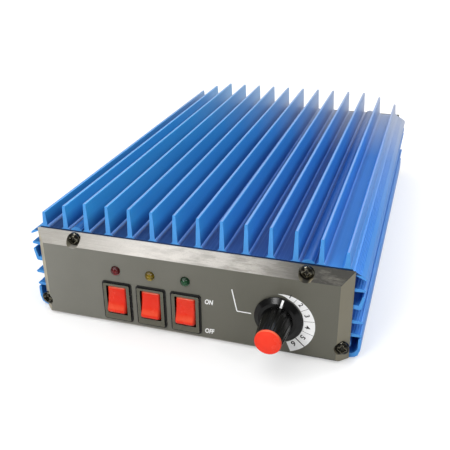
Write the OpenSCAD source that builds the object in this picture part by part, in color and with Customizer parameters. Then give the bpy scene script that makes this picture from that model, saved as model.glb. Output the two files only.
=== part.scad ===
// Mobile short-wave linear amplifier: a finned extruded body closed by a bevelled front
// panel, a flat rear panel and a bottom cover, with its controls, sockets and inner parts.
// X runs to the right, Y from the front to the back, Z up. The origin is the middle of the base.

/* [Body extrusion] */
// Width across the side ribs
body_w = 170; // [142:1:204]
// Length of the extrusion, without the panels
body_l = 245; // [204:1:294]
// Height to the tips of the tall fins
body_h = 63; // [60:0.5:76]
// Height of the tall fins above the roof
fin_h = 15.4; // [13:0.2:19]
// Distance from one fin to the next
fin_pitch = 11.7; // [10.6:0.1:14.1]
// Fin thickness at its root
fin_root_t = 2.6; // [2:0.1:3.4]
// Fin thickness at its tip
fin_tip_t = 1.4; // [1:0.1:2]
// How much lower the outermost fins are
outer_fin_drop = 7.2; // [4:0.2:9]
// How much lower the fins beside them are
second_fin_drop = 2.6; // [1:0.2:4]
// Thickness of the roof that the fins stand on
roof_t = 6; // [5.4:0.2:8]
// Thickness of the side walls
wall_t = 3.5; // [2.8:0.1:4.4]
// Reach of a side rib out of the side wall
rib_reach = 6; // [5:0.2:7.2]
// Thickness of a side rib at its root
rib_t = 2; // [1.4:0.1:2.6]

/* [Panels] */
// Thickness of the front panel
panel_t = 6.4; // [6:0.1:8]
// Width of the bevel round the front panel
bevel = 5.4; // [3:0.1:5.6]
// Distance that the side ribs stand out past the panels
panel_inset = 5; // [4:0.5:6]
// Thickness of the rear panel
rear_t = 3; // [2:0.1:4]
// Thickness of the bottom cover
cover_t = 1.5; // [1:0.1:1.8]
// Shank radius of the panel screws
panel_screw_r = 1.6; // [1.4:0.1:1.75]
// Head radius of the panel screws
panel_head_r = 3.25; // [2.8:0.05:3.5]

/* [Switches and lamps] */
// Distance from one switch to the next
switch_pitch = 18.2; // [16.6:0.1:19.5]
// Place of the middle switch across the panel
switch_x = -17.2; // [-22:0.1:-14]
// Height of the switches' middle
switch_z = 14.6; // [14:0.1:18]
// Width of a switch frame
frame_w = 15.6; // [15:0.1:16.2]
// Height of a switch frame
frame_h = 22; // [21.4:0.1:24]
// Width of a rocker
rocker_w = 10.2; // [8:0.1:10.6]
// Swing of a rocker from one side to the other
rocker_swing = 24; // [16:1:26]
// How far a rocker's pivot is above the middle of its frame
rocker_lift = 1; // [0:0.1:1.1]
// Height of the lamps' middle
lamp_z = 32.1; // [31:0.1:34]
// Radius of a lamp
lamp_r = 2.45; // [2:0.05:2.9]

/* [Knob] */
// Place of the knob across the panel
knob_x = 46.9; // [40:0.1:48]
// Height of the knob's middle
knob_z = 20.4; // [18:0.1:24]
// Reach of the knob out of the panel
knob_reach = 21.5; // [19:0.1:26]
// Radius of the knob's skirt
skirt_r = 11.4; // [10.4:0.1:13.6]
// Radius of the grip at its front
grip_r = 6.3; // [6:0.1:7.2]
// Number of flutes round the grip
flute_count = 16; // [12:1:20]
// Angle of the pointer from straight up, clockwise
pointer_angle = 12.5; // [0:0.5:30]
// Radius of the control shaft
shaft_r = 3; // [2.5:0.1:3.6]

/* [Rear fittings] */
// Distance of a coaxial socket from the middle
socket_x = 60; // [56:0.5:61]
// Height of the sockets, fuses and supply inlet
rear_z = 22; // [20:0.5:24]
// Outside radius of a socket's barrel
barrel_r = 7.94; // [7:0.01:8.6]
// Reach of the barrel out of its flange
barrel_l = 14.5; // [12:0.1:17.4]
// Bore radius of a socket's centre contact
contact_bore_r = 1.98; // [1.6:0.01:2.2]
// Place of the middle fuse holder
fuse_x = -8; // [-12:0.5:-6]
// Distance from one fuse holder to the next
fuse_pitch = 22; // [20.5:0.1:24]
// Place of the supply inlet
inlet_x = 37; // [36:0.5:40]
// Bore radius of the supply inlet's grommet
inlet_bore_r = 5; // [4:0.1:5.6]

/* [Inside] */
// Gap between the roof and the circuit board
board_gap = 5; // [4:0.1:6]
// Thickness of the circuit board
board_t = 1.6; // [1.2:0.1:2]
// Distance between the power transistors along the board
transistor_pitch = 42; // [34:0.5:50]

/* [Hidden] */
$fn = 64;

// Room left between pieces that fit into each other
slip = 0.05;
// A length that carries a cut clear through a face
over = 1;

// Ends of the extrusion and faces of the panels
front_y = -body_l / 2;
back_y = body_l / 2;
face_y = front_y - panel_t;
rear_y = back_y + rear_t;

// Levels of the roof and the inside of the body
roof_z = body_h - fin_h;
ceiling_z = roof_z - roof_t;
panel_top = roof_z - 0.4;
panel_foot = 0.6;
panel_half = body_w / 2 - panel_inset;
wall_out = body_w / 2 - rib_reach;
wall_in = wall_out - wall_t;

// Fins stand in a centred row as wide as the roof allows
shoulder_room = 8;
fin_count = floor((body_w - 2 * shoulder_room) / fin_pitch) + 1;
outer_fin_x = fin_pitch * (fin_count - 1) / 2;
flare_w = 1.3;
flare_h = 0.9;
tip_round = 0.25;

// Plain side ribs, counted up from the base, with fine grooves along their upper faces
plain_rib_z = [13.1, 20.4, 37.4];
rib_groove_pitch = 1.3;
rib_groove_w = 0.8;
rib_groove_depth = 0.35;
// The hooked rib, whose lip stands up and leans outwards, and the foot rib below
hook_rib_z = 28.4;
hook_lip_h = 5.2;
lip_lean = 1.2;
lip_t = 1.3;
foot_rib_t = 2.9;
foot_lip_z = 10.8;
foot_chamfer = 5.4;
// Fine grooves along the shoulder
shoulder_groove_pitch = 0.72;
shoulder_groove_w = 0.46;
shoulder_groove_depth = 0.25;

// Screw ports that run the length of the extrusion
port_wall = 1.75;
port_r = panel_screw_r + slip;
top_port_x = outer_fin_x - 1.5 * fin_pitch;
top_port_z = roof_z - 3.1;
port_hump_r = 3.5;
port_hump_z = roof_z - 1.5;
low_port_x = wall_out - 1.9;
low_port_z = 8;
ports = [[top_port_x, top_port_z], [low_port_x, low_port_z]];

// Panel screws
screw_l = 12;
seat_d = [2, 3.4];
panel_back_chamfer = 0.5;
head_h = 1.5;
head_dome = 1.1;
hole_room = 0.15;
spot_room = 0.4;

// Bottom cover and the ledges it is screwed to
ledge_w = 6;
ledge_t = 3;
cover_room = 0.3;
cover_screw_r = 1.25;
cover_head_r = 2.7;
cover_screw_x = wall_in - ledge_w / 2;
cover_screw_y = body_l / 2 - 20;

// Rocker switches
switch_list = [-1, 0, 1];
frame_t = 1.3;
gasket_t = 0.6;
gasket_lip = 0.85;
corner_r = 1.3;
frame_corner_r = 0.7;
throat_w = 12.9;
throat_h = 19.2;
throat_back = 11;
throat_floor = 1.2;
rocker_r = 7.7;
rocker_room = 0.3;
rocker_end = 7;
rocker_z = switch_z + rocker_lift;
rocker_hollow = 1.4;
rocker_back = 3.2;
pivot_r = 0.9;
pivot_l = 0.9;
pivot_y = face_y + 1;
clip_t = 0.9;
clip_l = 4;
terminal_w = 4.8;
terminal_t = 0.8;
terminal_l = 8;
terminal_pitch = 6.4;

// Lamps and their board
lamp_flange_r = lamp_r + 0.45;
lamp_flange_t = 1;
lamp_l = 8.7;
lamp_hole_room = 0.08;
lamp_board_t = 1.6;
lamp_board_w = 2 * switch_pitch + 12;
lamp_board_h = 8;
lead_r = 0.25;
lead_gap = 2.54;

// Knob and control
skirt_gap = 0.5;
skirt_edge = 0.8;
skirt_top_d = 3;
skirt_top_r = skirt_r - 2.3;
grip_base_r = grip_r + 1.3;
cap_t = 1.8;
cap_r = grip_r - 0.1;
cap_edge = 0.25;
cap_dome = 0.6;
cap_seat_d = knob_reach - cap_t;
plug_r = 3.5;
plug_l = 2;
flute_r = 0.9;
flute_depth = 0.45;
pointer_w = 1;
pointer_t = 0.35;
collet_r = shaft_r + 1.6;
collet_l = 9;
collet_d = 5;
shaft_end_d = collet_d + collet_l;
bush_r = shaft_r + 1.5;
bush_reach = 3.2;
nut_t = 2.2;
nut_r = bush_r + 2.4;
control_r = 13;
control_l = 12;
control_terminals = 7;

// Coaxial sockets
flange_w = 25.4;
flange_t = 1.8;
flange_screw_gap = 18.2;
insulator_r = barrel_r - 1.65;
rim_depth = 1.5;
contact_r = contact_bore_r + 0.75;
contact_bore_l = 12;
cup_r = 2;
cup_back = 9;
socket_screw_r = 1.45;
socket_head_r = 2.8;
socket_hole_room = 0.15;
notch_count = 12;
wire_r = 0.8;

// Fuse holders
fuse_list = [-1, 0, 1];
holder_flange_r = 7.6;
holder_flange_t = 3;
holder_r = 6.2;
holder_l = 40;
holder_bore_r = 3.6;
cap_stem_r = 4.4;
cap_stem_l = 5.8;
cap_disc_r = 6.2;
cap_disc_t = 2.6;
cap_gap = 0.1;
cap_slot_w = 1.2;
fuse_r = 3.15;
fuse_l = 31.8;
fuse_end_l = 6.4;
fuse_glass_r = 2.9;
holder_nut_r = 9.6;
holder_nut_t = 3;

// Supply grommet
grommet_wall = 2;
grommet_lip = 2.5;
grommet_lip_t = 2.2;

// Circuit board
board_top = ceiling_z - board_gap;
board_foot = board_top - board_t;
board_half = wall_in - 5;
board_front = front_y + 28;
board_back = back_y - 5;
post_r = 3.4;
post_x = board_half - 6;
post_y = [board_front + 8, (board_front + board_back) / 2, board_back - 8];
post_bore_r = 1.55;
board_screw_l = 4.5;
board_head_h = 2;
board_head_r = 2.8;

// Parts on the board
transistor_list = [-1.5, -0.5, 0.5, 1.5];
transistor_mid_y = (board_front + board_back) / 2 + 6;
flange_len = 24.6;
flange_wid = 9.6;
flange_hi = 2.4;
ceramic_w = 9.4;
ceramic_l = 12.6;
tab_w = 5.4;
tab_l = 5;
tab_t = 0.2;
tab_screw_gap = 18.4;
window_room = 0.8;

// ---------------------------------------------------------------- helpers

// Carries a flat outline drawn in X and Z along Y, from y0 to y1
module along_y(y0, y1) {
    translate([0, y1, 0])
        rotate([90, 0, 0])
            linear_extrude(height = y1 - y0)
                children();
}

// Carries a flat outline drawn in Y and Z along X, from x0 to x1
module along_x(x0, x1) {
    translate([x0, 0, 0])
        rotate([90, 0, 90])
            linear_extrude(height = x1 - x0)
                children();
}

// A round bar along Y
module rod_y(x, z, r, y0, y1) {
    translate([x, y1, z])
        rotate([90, 0, 0])
            cylinder(r = r, h = y1 - y0);
}

// Turns a profile of radius and reach about an axis that points to the front
module turned_front(x, y, z) {
    translate([x, y, z])
        rotate([90, 0, 0])
            rotate_extrude()
                children();
}

// Turns a profile of radius and reach about an axis that points to the back
module turned_back(x, y, z) {
    translate([x, y, z])
        rotate([-90, 0, 0])
            rotate_extrude()
                children();
}

// A rectangle with round corners, centred
module round_rect(w, h, r) {
    square([w - 2 * r, h], center = true);
    square([w, h - 2 * r], center = true);
    for (sx = [-1, 1], sy = [-1, 1])
        translate([sx * (w / 2 - r), sy * (h / 2 - r)])
            circle(r = r);
}

// Both sides of the body
module both_sides() {
    children();
    mirror([1, 0, 0])
        children();
}

// A cross recess that opens at the height top
module cross_recess(top, size, depth) {
    slot_w = size / 3.6;
    translate([0, 0, top - depth]) {
        for (turn = [0, 90])
            rotate([0, 0, turn])
                translate([-size / 2, -slot_w / 2, 0])
                    cube([size, slot_w, depth + over]);
        cylinder(r1 = size / 4, r2 = size / 2.6, h = depth + slip);
    }
}

// A pan-head screw along +Z with its seat at zero and its shank below
module pan_screw(shank_r, shank_l, head_r, cheek_h, dome_h) {
    dome_r = (head_r * head_r + dome_h * dome_h) / (2 * dome_h);
    difference() {
        union() {
            translate([0, 0, -shank_l])
                cylinder(r = shank_r, h = shank_l + slip);
            cylinder(r = head_r, h = cheek_h);
            intersection() {
                translate([0, 0, cheek_h + dome_h - dome_r])
                    sphere(r = dome_r);
                translate([0, 0, cheek_h / 2])
                    cylinder(r = head_r, h = cheek_h + dome_h);
            }
        }
        cross_recess(cheek_h + dome_h, head_r * 1.25, cheek_h);
    }
}

// ---------------------------------------------------------------- body

// Outline of one fin, tapered and flared at its root
module fin_outline(x, top_z) {
    root = fin_root_t / 2;
    tip = fin_tip_t / 2;
    polygon([
        [x - root - flare_w, roof_z - over],
        [x - root - flare_w, roof_z],
        [x - root, roof_z + flare_h],
        [x - tip, top_z - tip_round],
        [x - tip + tip_round, top_z],
        [x + tip - tip_round, top_z],
        [x + tip, top_z - tip_round],
        [x + root, roof_z + flare_h],
        [x + root + flare_w, roof_z],
        [x + root + flare_w, roof_z - over]
    ]);
}

// How far a fin's tip lies below the tall ones, by its place from the edge
function fin_drop(i) = let (edge = min(i, fin_count - 1 - i))
    edge == 0 ? outer_fin_drop : edge == 1 ? second_fin_drop : 0;

// Outline of a plain side rib, thinner towards its round tip
module rib_outline(z, reach) {
    tip_r = rib_t * 0.34;
    polygon([
        [wall_out - over, z - rib_t / 2],
        [wall_out, z - rib_t / 2],
        [wall_out + reach - tip_r, z - tip_r],
        [wall_out + reach - tip_r, z + tip_r],
        [wall_out, z + rib_t / 2],
        [wall_out - over, z + rib_t / 2]
    ]);
    translate([wall_out + reach - tip_r, z])
        circle(r = tip_r, $fn = 24);
}

// Outline of the hooked rib: a shelf whose lip stands up and leans outwards
module hook_outline() {
    z = hook_rib_z;
    foot_x = wall_out + rib_reach - lip_lean - lip_t / 2;
    tip_x = wall_out + rib_reach - lip_t / 2;
    polygon([
        [wall_out - over, z - rib_t * 0.6],
        [foot_x, z - rib_t * 0.6],
        [foot_x + lip_t / 2, z - rib_t * 0.3],
        [tip_x + lip_t / 2, z + hook_lip_h],
        [tip_x - lip_t / 2, z + hook_lip_h],
        [foot_x - lip_t / 2, z + rib_t * 0.5],
        [wall_out - over, z + rib_t * 0.5]
    ]);
    translate([tip_x, z + hook_lip_h])
        circle(r = lip_t / 2, $fn = 24);
}

// Outline of the foot rib: a sole that rises outwards, a blunt corner and a lip
module foot_outline() {
    side_x = wall_out + rib_reach;
    polygon([
        [wall_out - over, 0],
        [wall_out, 0],
        [side_x - 2.4, 1],
        [side_x - 1, 2.1],
        [side_x, foot_chamfer],
        [side_x, foot_lip_z],
        [side_x - lip_t, foot_lip_z],
        [side_x - lip_t, foot_chamfer + 0.3],
        [side_x - 2.6, foot_rib_t + 0.8],
        [side_x - 3.8, foot_rib_t],
        [wall_out - over, foot_rib_t]
    ]);
    translate([side_x - lip_t / 2, foot_lip_z])
        circle(r = lip_t / 2, $fn = 24);
}

// Right half of the channel's outline: shoulder, side wall, cover ledge and inner wall
function channel_side() = [
    [wall_out - 1.6, roof_z],
    [wall_out + 0.4, roof_z - 0.7],
    [wall_out + 3.6, roof_z - 2.4],
    [wall_out + 5.4, roof_z - 3.7],
    [wall_out + rib_reach, roof_z - 4.5],
    [wall_out + 5.8, roof_z - 5],
    [wall_out + 4.8, roof_z - 4.6],
    [wall_out + 1.7, roof_z - 3.2],
    [wall_out, roof_z - 2.8],
    [wall_out, 0],
    [wall_in, 0],
    [wall_in, cover_t],
    [wall_in - ledge_w, cover_t],
    [wall_in - ledge_w, cover_t + ledge_t],
    [wall_in, cover_t + ledge_t],
    [wall_in, ceiling_z]
];

// The whole channel: its right half and the same points mirrored, in turn
module channel_outline() {
    right = channel_side();
    last = len(right) - 1;
    polygon(concat(right, [for (i = [0 : last]) [-right[last - i][0], right[last - i][1]]]));
}

// One fine V groove, its mouth on the line of the surface
module groove_outline(width, depth) {
    polygon([[0, -depth], [width / 2, 0], [width / 2, over], [-width / 2, over], [-width / 2, 0]]);
}

// Fine grooves along the upper faces of the plain ribs
module rib_grooves() {
    tip_r = rib_t * 0.34;
    fall = (rib_t / 2 - tip_r) / (rib_reach - tip_r);
    for (z = plain_rib_z, i = [0 : 3]) {
        out = 0.9 + i * rib_groove_pitch;
        along_y(front_y - over, back_y + over)
            translate([wall_out + out, z + rib_t / 2 - out * fall])
                groove_outline(rib_groove_w, rib_groove_depth);
    }
}

// Fine grooves along the slope of the shoulder
module shoulder_grooves() {
    slope = atan2(1.7, 3.2);
    for (i = [0 : 4]) {
        down = 0.4 + i * shoulder_groove_pitch;
        along_y(front_y - over, back_y + over)
            translate([wall_out + 0.4 + down * cos(slope), roof_z - 0.7 - down * sin(slope)])
                rotate([0, 0, -slope])
                    groove_outline(shoulder_groove_w, shoulder_groove_depth);
    }
}

// The blocks round the screw ports, drawn out with the body
module port_blocks() {
    rod_y(low_port_x, low_port_z, port_r + port_wall, front_y, back_y);
    rod_y(top_port_x, port_hump_z, port_hump_r, front_y, back_y);
    along_y(front_y, back_y)
        translate([top_port_x - port_hump_r, ceiling_z])
            square([2 * port_hump_r, port_hump_z - ceiling_z]);
}

module side_ribs() {
    for (z = plain_rib_z)
        along_y(front_y, back_y)
            rib_outline(z, rib_reach);
    along_y(front_y, back_y)
        hook_outline();
    along_y(front_y, back_y)
        foot_outline();
}

module housing() color("royalblue") {
    difference() {
        union() {
            along_y(front_y, back_y)
                channel_outline();
            for (i = [0 : fin_count - 1])
                along_y(front_y, back_y)
                    fin_outline(-outer_fin_x + i * fin_pitch, body_h - fin_drop(i));
            both_sides() {
                side_ribs();
                port_blocks();
            }
        }
        both_sides() {
            for (port = ports)
                rod_y(port[0], port[1], port_r, front_y - over, back_y + over);
            rib_grooves();
            shoulder_grooves();
        }
        for (side = [-1, 1], row = [-1, 0, 1])
            translate([side * cover_screw_x, row * cover_screw_y, 0])
                cylinder(r = cover_screw_r + slip, h = cover_t + ledge_t + over);
        for (i = transistor_list, side = [-1, 1])
            translate([side * tab_screw_gap / 2, transistor_mid_y + i * transistor_pitch, ceiling_z - over])
                cylinder(r = cover_screw_r + slip, h = roof_t);
        for (side = [-1, 1], y = post_y)
            translate([side * post_x, y, ceiling_z - over])
                cylinder(r = cover_screw_r + slip, h = roof_t - 1);
    }
}

module bottom_cover() color("dimgray") {
    difference() {
        translate([-wall_in + cover_room, front_y + cover_room, 0])
            cube([2 * (wall_in - cover_room), body_l - 2 * cover_room, cover_t]);
        for (side = [-1, 1], row = [-1, 0, 1])
            translate([side * cover_screw_x, row * cover_screw_y, -slip])
                cylinder(r1 = cover_head_r + slip, r2 = cover_screw_r + slip, h = cover_t + 2 * slip);
    }
}

module bottom_cover_screws() color("silver") {
    for (side = [-1, 1], row = [-1, 0, 1])
        translate([side * cover_screw_x, row * cover_screw_y, 0])
            difference() {
                union() {
                    cylinder(r1 = cover_head_r, r2 = cover_screw_r, h = cover_t);
                    cylinder(r = cover_screw_r, h = cover_t + ledge_t);
                }
                mirror([0, 0, 1])
                    cross_recess(0, cover_head_r * 1.2, cover_t * 0.6);
            }
}

// ---------------------------------------------------------------- front panel

// One bevel along the top edge, cut at 45 degrees behind a thin straight edge
module top_bevel() {
    along_x(-body_w, body_w)
        polygon([
            [face_y - over, panel_top - bevel - over],
            [face_y + bevel + over, panel_top + over],
            [face_y - over, panel_top + over]
        ]);
}

module side_bevel() {
    linear_extrude(height = body_h)
        polygon([
            [panel_half - bevel - over, face_y - over],
            [panel_half + over, face_y + bevel + over],
            [panel_half + over, face_y - over]
        ]);
}

// Small chamfer along the panel's upper rear edge
module back_chamfer() {
    along_x(-body_w, body_w)
        polygon([
            [front_y - panel_back_chamfer, panel_top + slip],
            [front_y + slip, panel_top + slip],
            [front_y + slip, panel_top - panel_back_chamfer]
        ]);
}

// Rounded lower edge of the front face
module foot_round() {
    foot_r = 2;
    along_x(-body_w, body_w)
        difference() {
            translate([face_y - over, panel_foot - over])
                square([foot_r + over, foot_r + over]);
            translate([face_y + foot_r, panel_foot + foot_r])
                circle(r = foot_r);
        }
}

module front_panel() color("darkslategray") {
    difference() {
        along_y(face_y, front_y)
            translate([-panel_half, panel_foot])
                square([2 * panel_half, panel_top - panel_foot]);
        top_bevel();
        both_sides()
            side_bevel();
        foot_round();
        back_chamfer();
        both_sides()
            for (i = [0, 1]) {
                rod_y(ports[i][0], ports[i][1], panel_screw_r + hole_room, face_y - over, front_y + over);
                rod_y(ports[i][0], ports[i][1], panel_head_r + spot_room, face_y - over,
                    front_y - seat_d[i]);
            }
        for (i = switch_list)
            translate([switch_x + i * switch_pitch - throat_w / 2 - slip, face_y - over,
                    switch_z - throat_h / 2 - slip])
                cube([throat_w + 2 * slip, panel_t + 2 * over, throat_h + 2 * slip]);
        for (i = switch_list) {
            rod_y(switch_x + i * switch_pitch, lamp_z, lamp_r + lamp_hole_room,
                face_y - over, front_y + over);
            rod_y(switch_x + i * switch_pitch, lamp_z, lamp_flange_r + lamp_hole_room,
                front_y - lamp_flange_t, front_y + over);
        }
        rod_y(knob_x, knob_z, bush_r + slip, face_y - over, front_y + over);
    }
}

module front_panel_screws() color("black") {
    for (side = [-1, 1], i = [0, 1])
        translate([side * ports[i][0], front_y - seat_d[i], ports[i][1]])
            rotate([90, 0, 0])
                pan_screw(panel_screw_r, screw_l, panel_head_r, head_h, head_dome);
}

// ---------------------------------------------------------------- rocker switches

module switch_body(i) color("black") {
    cx = switch_x + i * switch_pitch;
    bore_w = rocker_w + 2 * rocker_room;
    bore_h = 2 * (rocker_r + rocker_room);
    difference() {
        union() {
            along_y(face_y - gasket_t, face_y)
                translate([cx, switch_z])
                    round_rect(frame_w, frame_h, corner_r);
            along_y(face_y - frame_t, face_y)
                translate([cx, switch_z])
                    round_rect(frame_w - 2 * gasket_lip, frame_h - 2 * gasket_lip, frame_corner_r);
            along_y(face_y - slip, front_y + throat_back)
                translate([cx - throat_w / 2, switch_z - throat_h / 2])
                    square([throat_w, throat_h]);
            for (side = [-1, 1])
                translate([0, 0, switch_z])
                    scale([1, 1, side])
                        along_x(cx - clip_l / 2, cx + clip_l / 2)
                            polygon([
                                [front_y + slip, throat_h / 2 - slip],
                                [front_y + slip, throat_h / 2 + clip_t],
                                [front_y + clip_l, throat_h / 2 - slip]
                            ]);
        }
        along_y(face_y - frame_t - over, front_y + throat_back - throat_floor)
            translate([cx - bore_w / 2, rocker_z - bore_h / 2])
                square([bore_w, bore_h]);
        translate([cx - throat_w / 2 - over, pivot_y, rocker_z])
            rotate([0, 90, 0])
                cylinder(r = pivot_r + slip, h = throat_w + 2 * over);
        for (slot = [-1, 0, 1])
            translate([cx - terminal_w / 2 - slip, front_y + throat_back - throat_floor - over,
                    switch_z + slot * terminal_pitch - terminal_t / 2 - slip])
                cube([terminal_w + 2 * slip, throat_floor + 2 * over, terminal_t + 2 * slip]);
    }
}

// Side view of a rocker about its pivot: a drum cut by a shallow V and a flat back
module rocker_outline() {
    ridge = sqrt(rocker_r * rocker_r - rocker_end * rocker_end);
    intersection() {
        circle(r = rocker_r);
        polygon([
            [-ridge, rocker_end],
            [-ridge + rocker_hollow * 0.8, rocker_end * 0.3],
            [-ridge + rocker_hollow * 0.8, -rocker_end * 0.3],
            [-ridge, -rocker_end],
            [0, -2 * rocker_r],
            [rocker_back, -2 * rocker_r],
            [rocker_back, 2 * rocker_r],
            [0, 2 * rocker_r]
        ]);
    }
}

module rocker(i) color("orangered") {
    cx = switch_x + i * switch_pitch;
    translate([cx, pivot_y, rocker_z])
        rotate([-rocker_swing / 2, 0, 0]) {
            along_x(-rocker_w / 2, rocker_w / 2)
                rocker_outline();
            translate([-rocker_w / 2 - pivot_l, 0, 0])
                rotate([0, 90, 0])
                    cylinder(r = pivot_r, h = rocker_w + 2 * pivot_l);
        }
}

module switch_terminals(i) color("gold") {
    cx = switch_x + i * switch_pitch;
    blade_y = front_y + throat_back - throat_floor;
    for (slot = [-1, 0, 1])
        difference() {
            translate([cx - terminal_w / 2, blade_y, switch_z + slot * terminal_pitch - terminal_t / 2])
                cube([terminal_w, throat_floor + terminal_l, terminal_t]);
            translate([cx, blade_y + throat_floor + terminal_l - 2.4, switch_z + slot * terminal_pitch - over])
                cylinder(r = 0.7, h = 2 * over);
        }
}

// ---------------------------------------------------------------- lamps

module lamp(i, shade) color(shade) {
    turned_front(switch_x + i * switch_pitch, front_y, lamp_z) {
        square([lamp_flange_r, lamp_flange_t]);
        square([lamp_r, lamp_l - lamp_r]);
        intersection() {
            translate([0, lamp_l - lamp_r])
                circle(r = lamp_r);
            square([lamp_r, lamp_l]);
        }
    }
}

module lamp_leads() color("silver") {
    for (i = switch_list, side = [-1, 1])
        rod_y(switch_x + i * switch_pitch + side * lead_gap / 2, lamp_z, lead_r,
            front_y, front_y + lamp_board_t + 2);
}

module lamp_board() color("darkgreen") {
    difference() {
        translate([switch_x - lamp_board_w / 2, front_y, lamp_z - lamp_board_h / 2])
            cube([lamp_board_w, lamp_board_t, lamp_board_h]);
        for (i = switch_list, side = [-1, 1])
            rod_y(switch_x + i * switch_pitch + side * lead_gap / 2, lamp_z, lead_r + slip,
                front_y - over, front_y + lamp_board_t + over);
    }
}

// ---------------------------------------------------------------- knob and control

// Outline of the skirted grip, as radius and reach out of the panel
module knob_outline() {
    polygon([
        [0, skirt_gap],
        [skirt_r - 0.3, skirt_gap],
        [skirt_r, skirt_gap + 0.3],
        [skirt_r, skirt_gap + skirt_edge],
        [skirt_top_r, skirt_top_d],
        [grip_base_r, skirt_top_d + 0.25],
        [grip_r, cap_seat_d],
        [0, cap_seat_d]
    ]);
}

// The pointer's inlay on the skirt's slope, seen from the side
module pointer_bar() {
    rotate([0, pointer_angle, 0])
        along_x(-pointer_w / 2, pointer_w / 2)
            polygon([
                [-skirt_top_d - pointer_t, grip_base_r - 0.6],
                [-skirt_top_d - pointer_t, skirt_top_r],
                [-skirt_gap - skirt_edge - pointer_t, skirt_r - 0.45],
                [-skirt_gap - skirt_edge + pointer_t, skirt_r - 0.45],
                [-skirt_top_d + pointer_t, skirt_top_r],
                [-skirt_top_d + pointer_t, grip_base_r - 0.6]
            ]);
}

module knob_body() color("black") {
    taper = atan2(grip_base_r - grip_r, knob_reach - cap_t - skirt_top_d);
    difference() {
        turned_front(knob_x, face_y, knob_z)
            knob_outline();
        for (i = [0 : flute_count - 1])
            translate([knob_x, face_y - skirt_top_d - 0.5, knob_z])
                rotate([0, pointer_angle + (i + 0.5) * 360 / flute_count, 0])
                    translate([0, 0, grip_base_r + flute_r - flute_depth])
                        rotate([90 + taper, 0, 0])
                            cylinder(r = flute_r, h = knob_reach, $fn = 20);
        rod_y(knob_x, knob_z, plug_r + slip, face_y - knob_reach, face_y - cap_seat_d + plug_l);
        rod_y(knob_x, knob_z, collet_r + slip, face_y - shaft_end_d - 0.4, face_y + over);
        rod_y(knob_x, knob_z, nut_r + 0.3, face_y - bush_reach - 0.3, face_y + over);
        translate([knob_x, face_y, knob_z])
            pointer_bar();
    }
}

module knob_cap() color("red") {
    dome_r = (cap_r * cap_r + cap_dome * cap_dome) / (2 * cap_dome);
    turned_front(knob_x, face_y, knob_z) {
        intersection() {
            polygon([
                [0, cap_seat_d],
                [cap_r, cap_seat_d],
                [cap_r, knob_reach - cap_dome - cap_edge],
                [cap_r - cap_edge, knob_reach - cap_dome],
                [cap_r - cap_edge, knob_reach],
                [0, knob_reach]
            ]);
            translate([0, knob_reach - dome_r])
                circle(r = dome_r, $fn = 360);
        }
        translate([0, cap_seat_d - plug_l + 0.1])
            square([plug_r, plug_l]);
    }
}

module knob_pointer() color("white") {
    intersection() {
        translate([knob_x, face_y, knob_z])
            pointer_bar();
        rod_y(knob_x, knob_z, skirt_r, face_y - knob_reach, face_y - skirt_gap);
    }
}

module knob_collet() color("goldenrod") {
    difference() {
        rod_y(knob_x, knob_z, collet_r, face_y - shaft_end_d, face_y - collet_d);
        rod_y(knob_x, knob_z, shaft_r + slip, face_y - shaft_end_d - over, face_y - collet_d + over);
        for (turn = [0, 90])
            translate([knob_x, face_y - shaft_end_d - over, knob_z])
                rotate([0, turn, 0])
                    translate([-0.4, 0, -collet_r - over])
                        cube([0.8, collet_l * 0.6, 2 * (collet_r + over)]);
    }
}

module control_shaft() color("silver") {
    difference() {
        rod_y(knob_x, knob_z, shaft_r, face_y - shaft_end_d + 0.2, front_y + control_l - 2);
        translate([knob_x - 0.5, face_y - shaft_end_d - over, knob_z - shaft_r - over])
            cube([over, 3, 2 * (shaft_r + over)]);
    }
}

module control_bush() color("goldenrod") {
    difference() {
        union() {
            rod_y(knob_x, knob_z, bush_r, face_y - bush_reach, front_y);
            rod_y(knob_x, knob_z, bush_r + 2, front_y, front_y + 1.5);
        }
        rod_y(knob_x, knob_z, shaft_r + slip, face_y - bush_reach - over, front_y + 1.5 + over);
    }
}

module control_nut() color("silver") {
    difference() {
        translate([knob_x, face_y, knob_z])
            rotate([90, 0, 0])
                cylinder(r = nut_r, h = nut_t, $fn = 6);
        rod_y(knob_x, knob_z, bush_r + slip, face_y - nut_t - over, face_y + over);
    }
}

module control_body() color("saddlebrown") {
    difference() {
        union() {
            rod_y(knob_x, knob_z, control_r, front_y + 1.5, front_y + control_l);
            rod_y(knob_x, knob_z, control_r - 1.5, front_y + control_l, front_y + control_l + 1.5);
        }
        rod_y(knob_x, knob_z, shaft_r + 0.4, front_y, front_y + control_l - 1);
    }
}

module control_terminals() color("gold") {
    back = front_y + control_l + 1.5;
    for (i = [0 : control_terminals - 1])
        translate([knob_x, back, knob_z])
            rotate([0, i * 360 / control_terminals, 0])
                translate([-0.9, 0, control_r - 4])
                    cube([1.8, 4.5, 0.5]);
}

// ---------------------------------------------------------------- rear panel

function flange_holes() = [for (sx = [-1, 1], sz = [-1, 1]) [sx, sz] * flange_screw_gap / 2];

module rear_panel() color("dimgray") {
    difference() {
        along_y(back_y, rear_y)
            translate([-panel_half, panel_foot])
                square([2 * panel_half, panel_top - panel_foot]);
        both_sides()
            for (port = ports)
                rod_y(port[0], port[1], panel_screw_r + hole_room, back_y - over, rear_y + over);
        for (side = [-1, 1]) {
            rod_y(side * socket_x, rear_z, barrel_r + 0.1, back_y - over, rear_y + over);
            for (hole = flange_holes())
                rod_y(side * socket_x + hole[0], rear_z + hole[1], socket_screw_r + slip,
                    back_y - over, rear_y + over);
        }
        for (i = fuse_list)
            rod_y(fuse_x + i * fuse_pitch, rear_z, holder_r + 0.1, back_y - over, rear_y + over);
        rod_y(inlet_x, rear_z, inlet_bore_r + grommet_wall, back_y - over, rear_y + over);
    }
}

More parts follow.
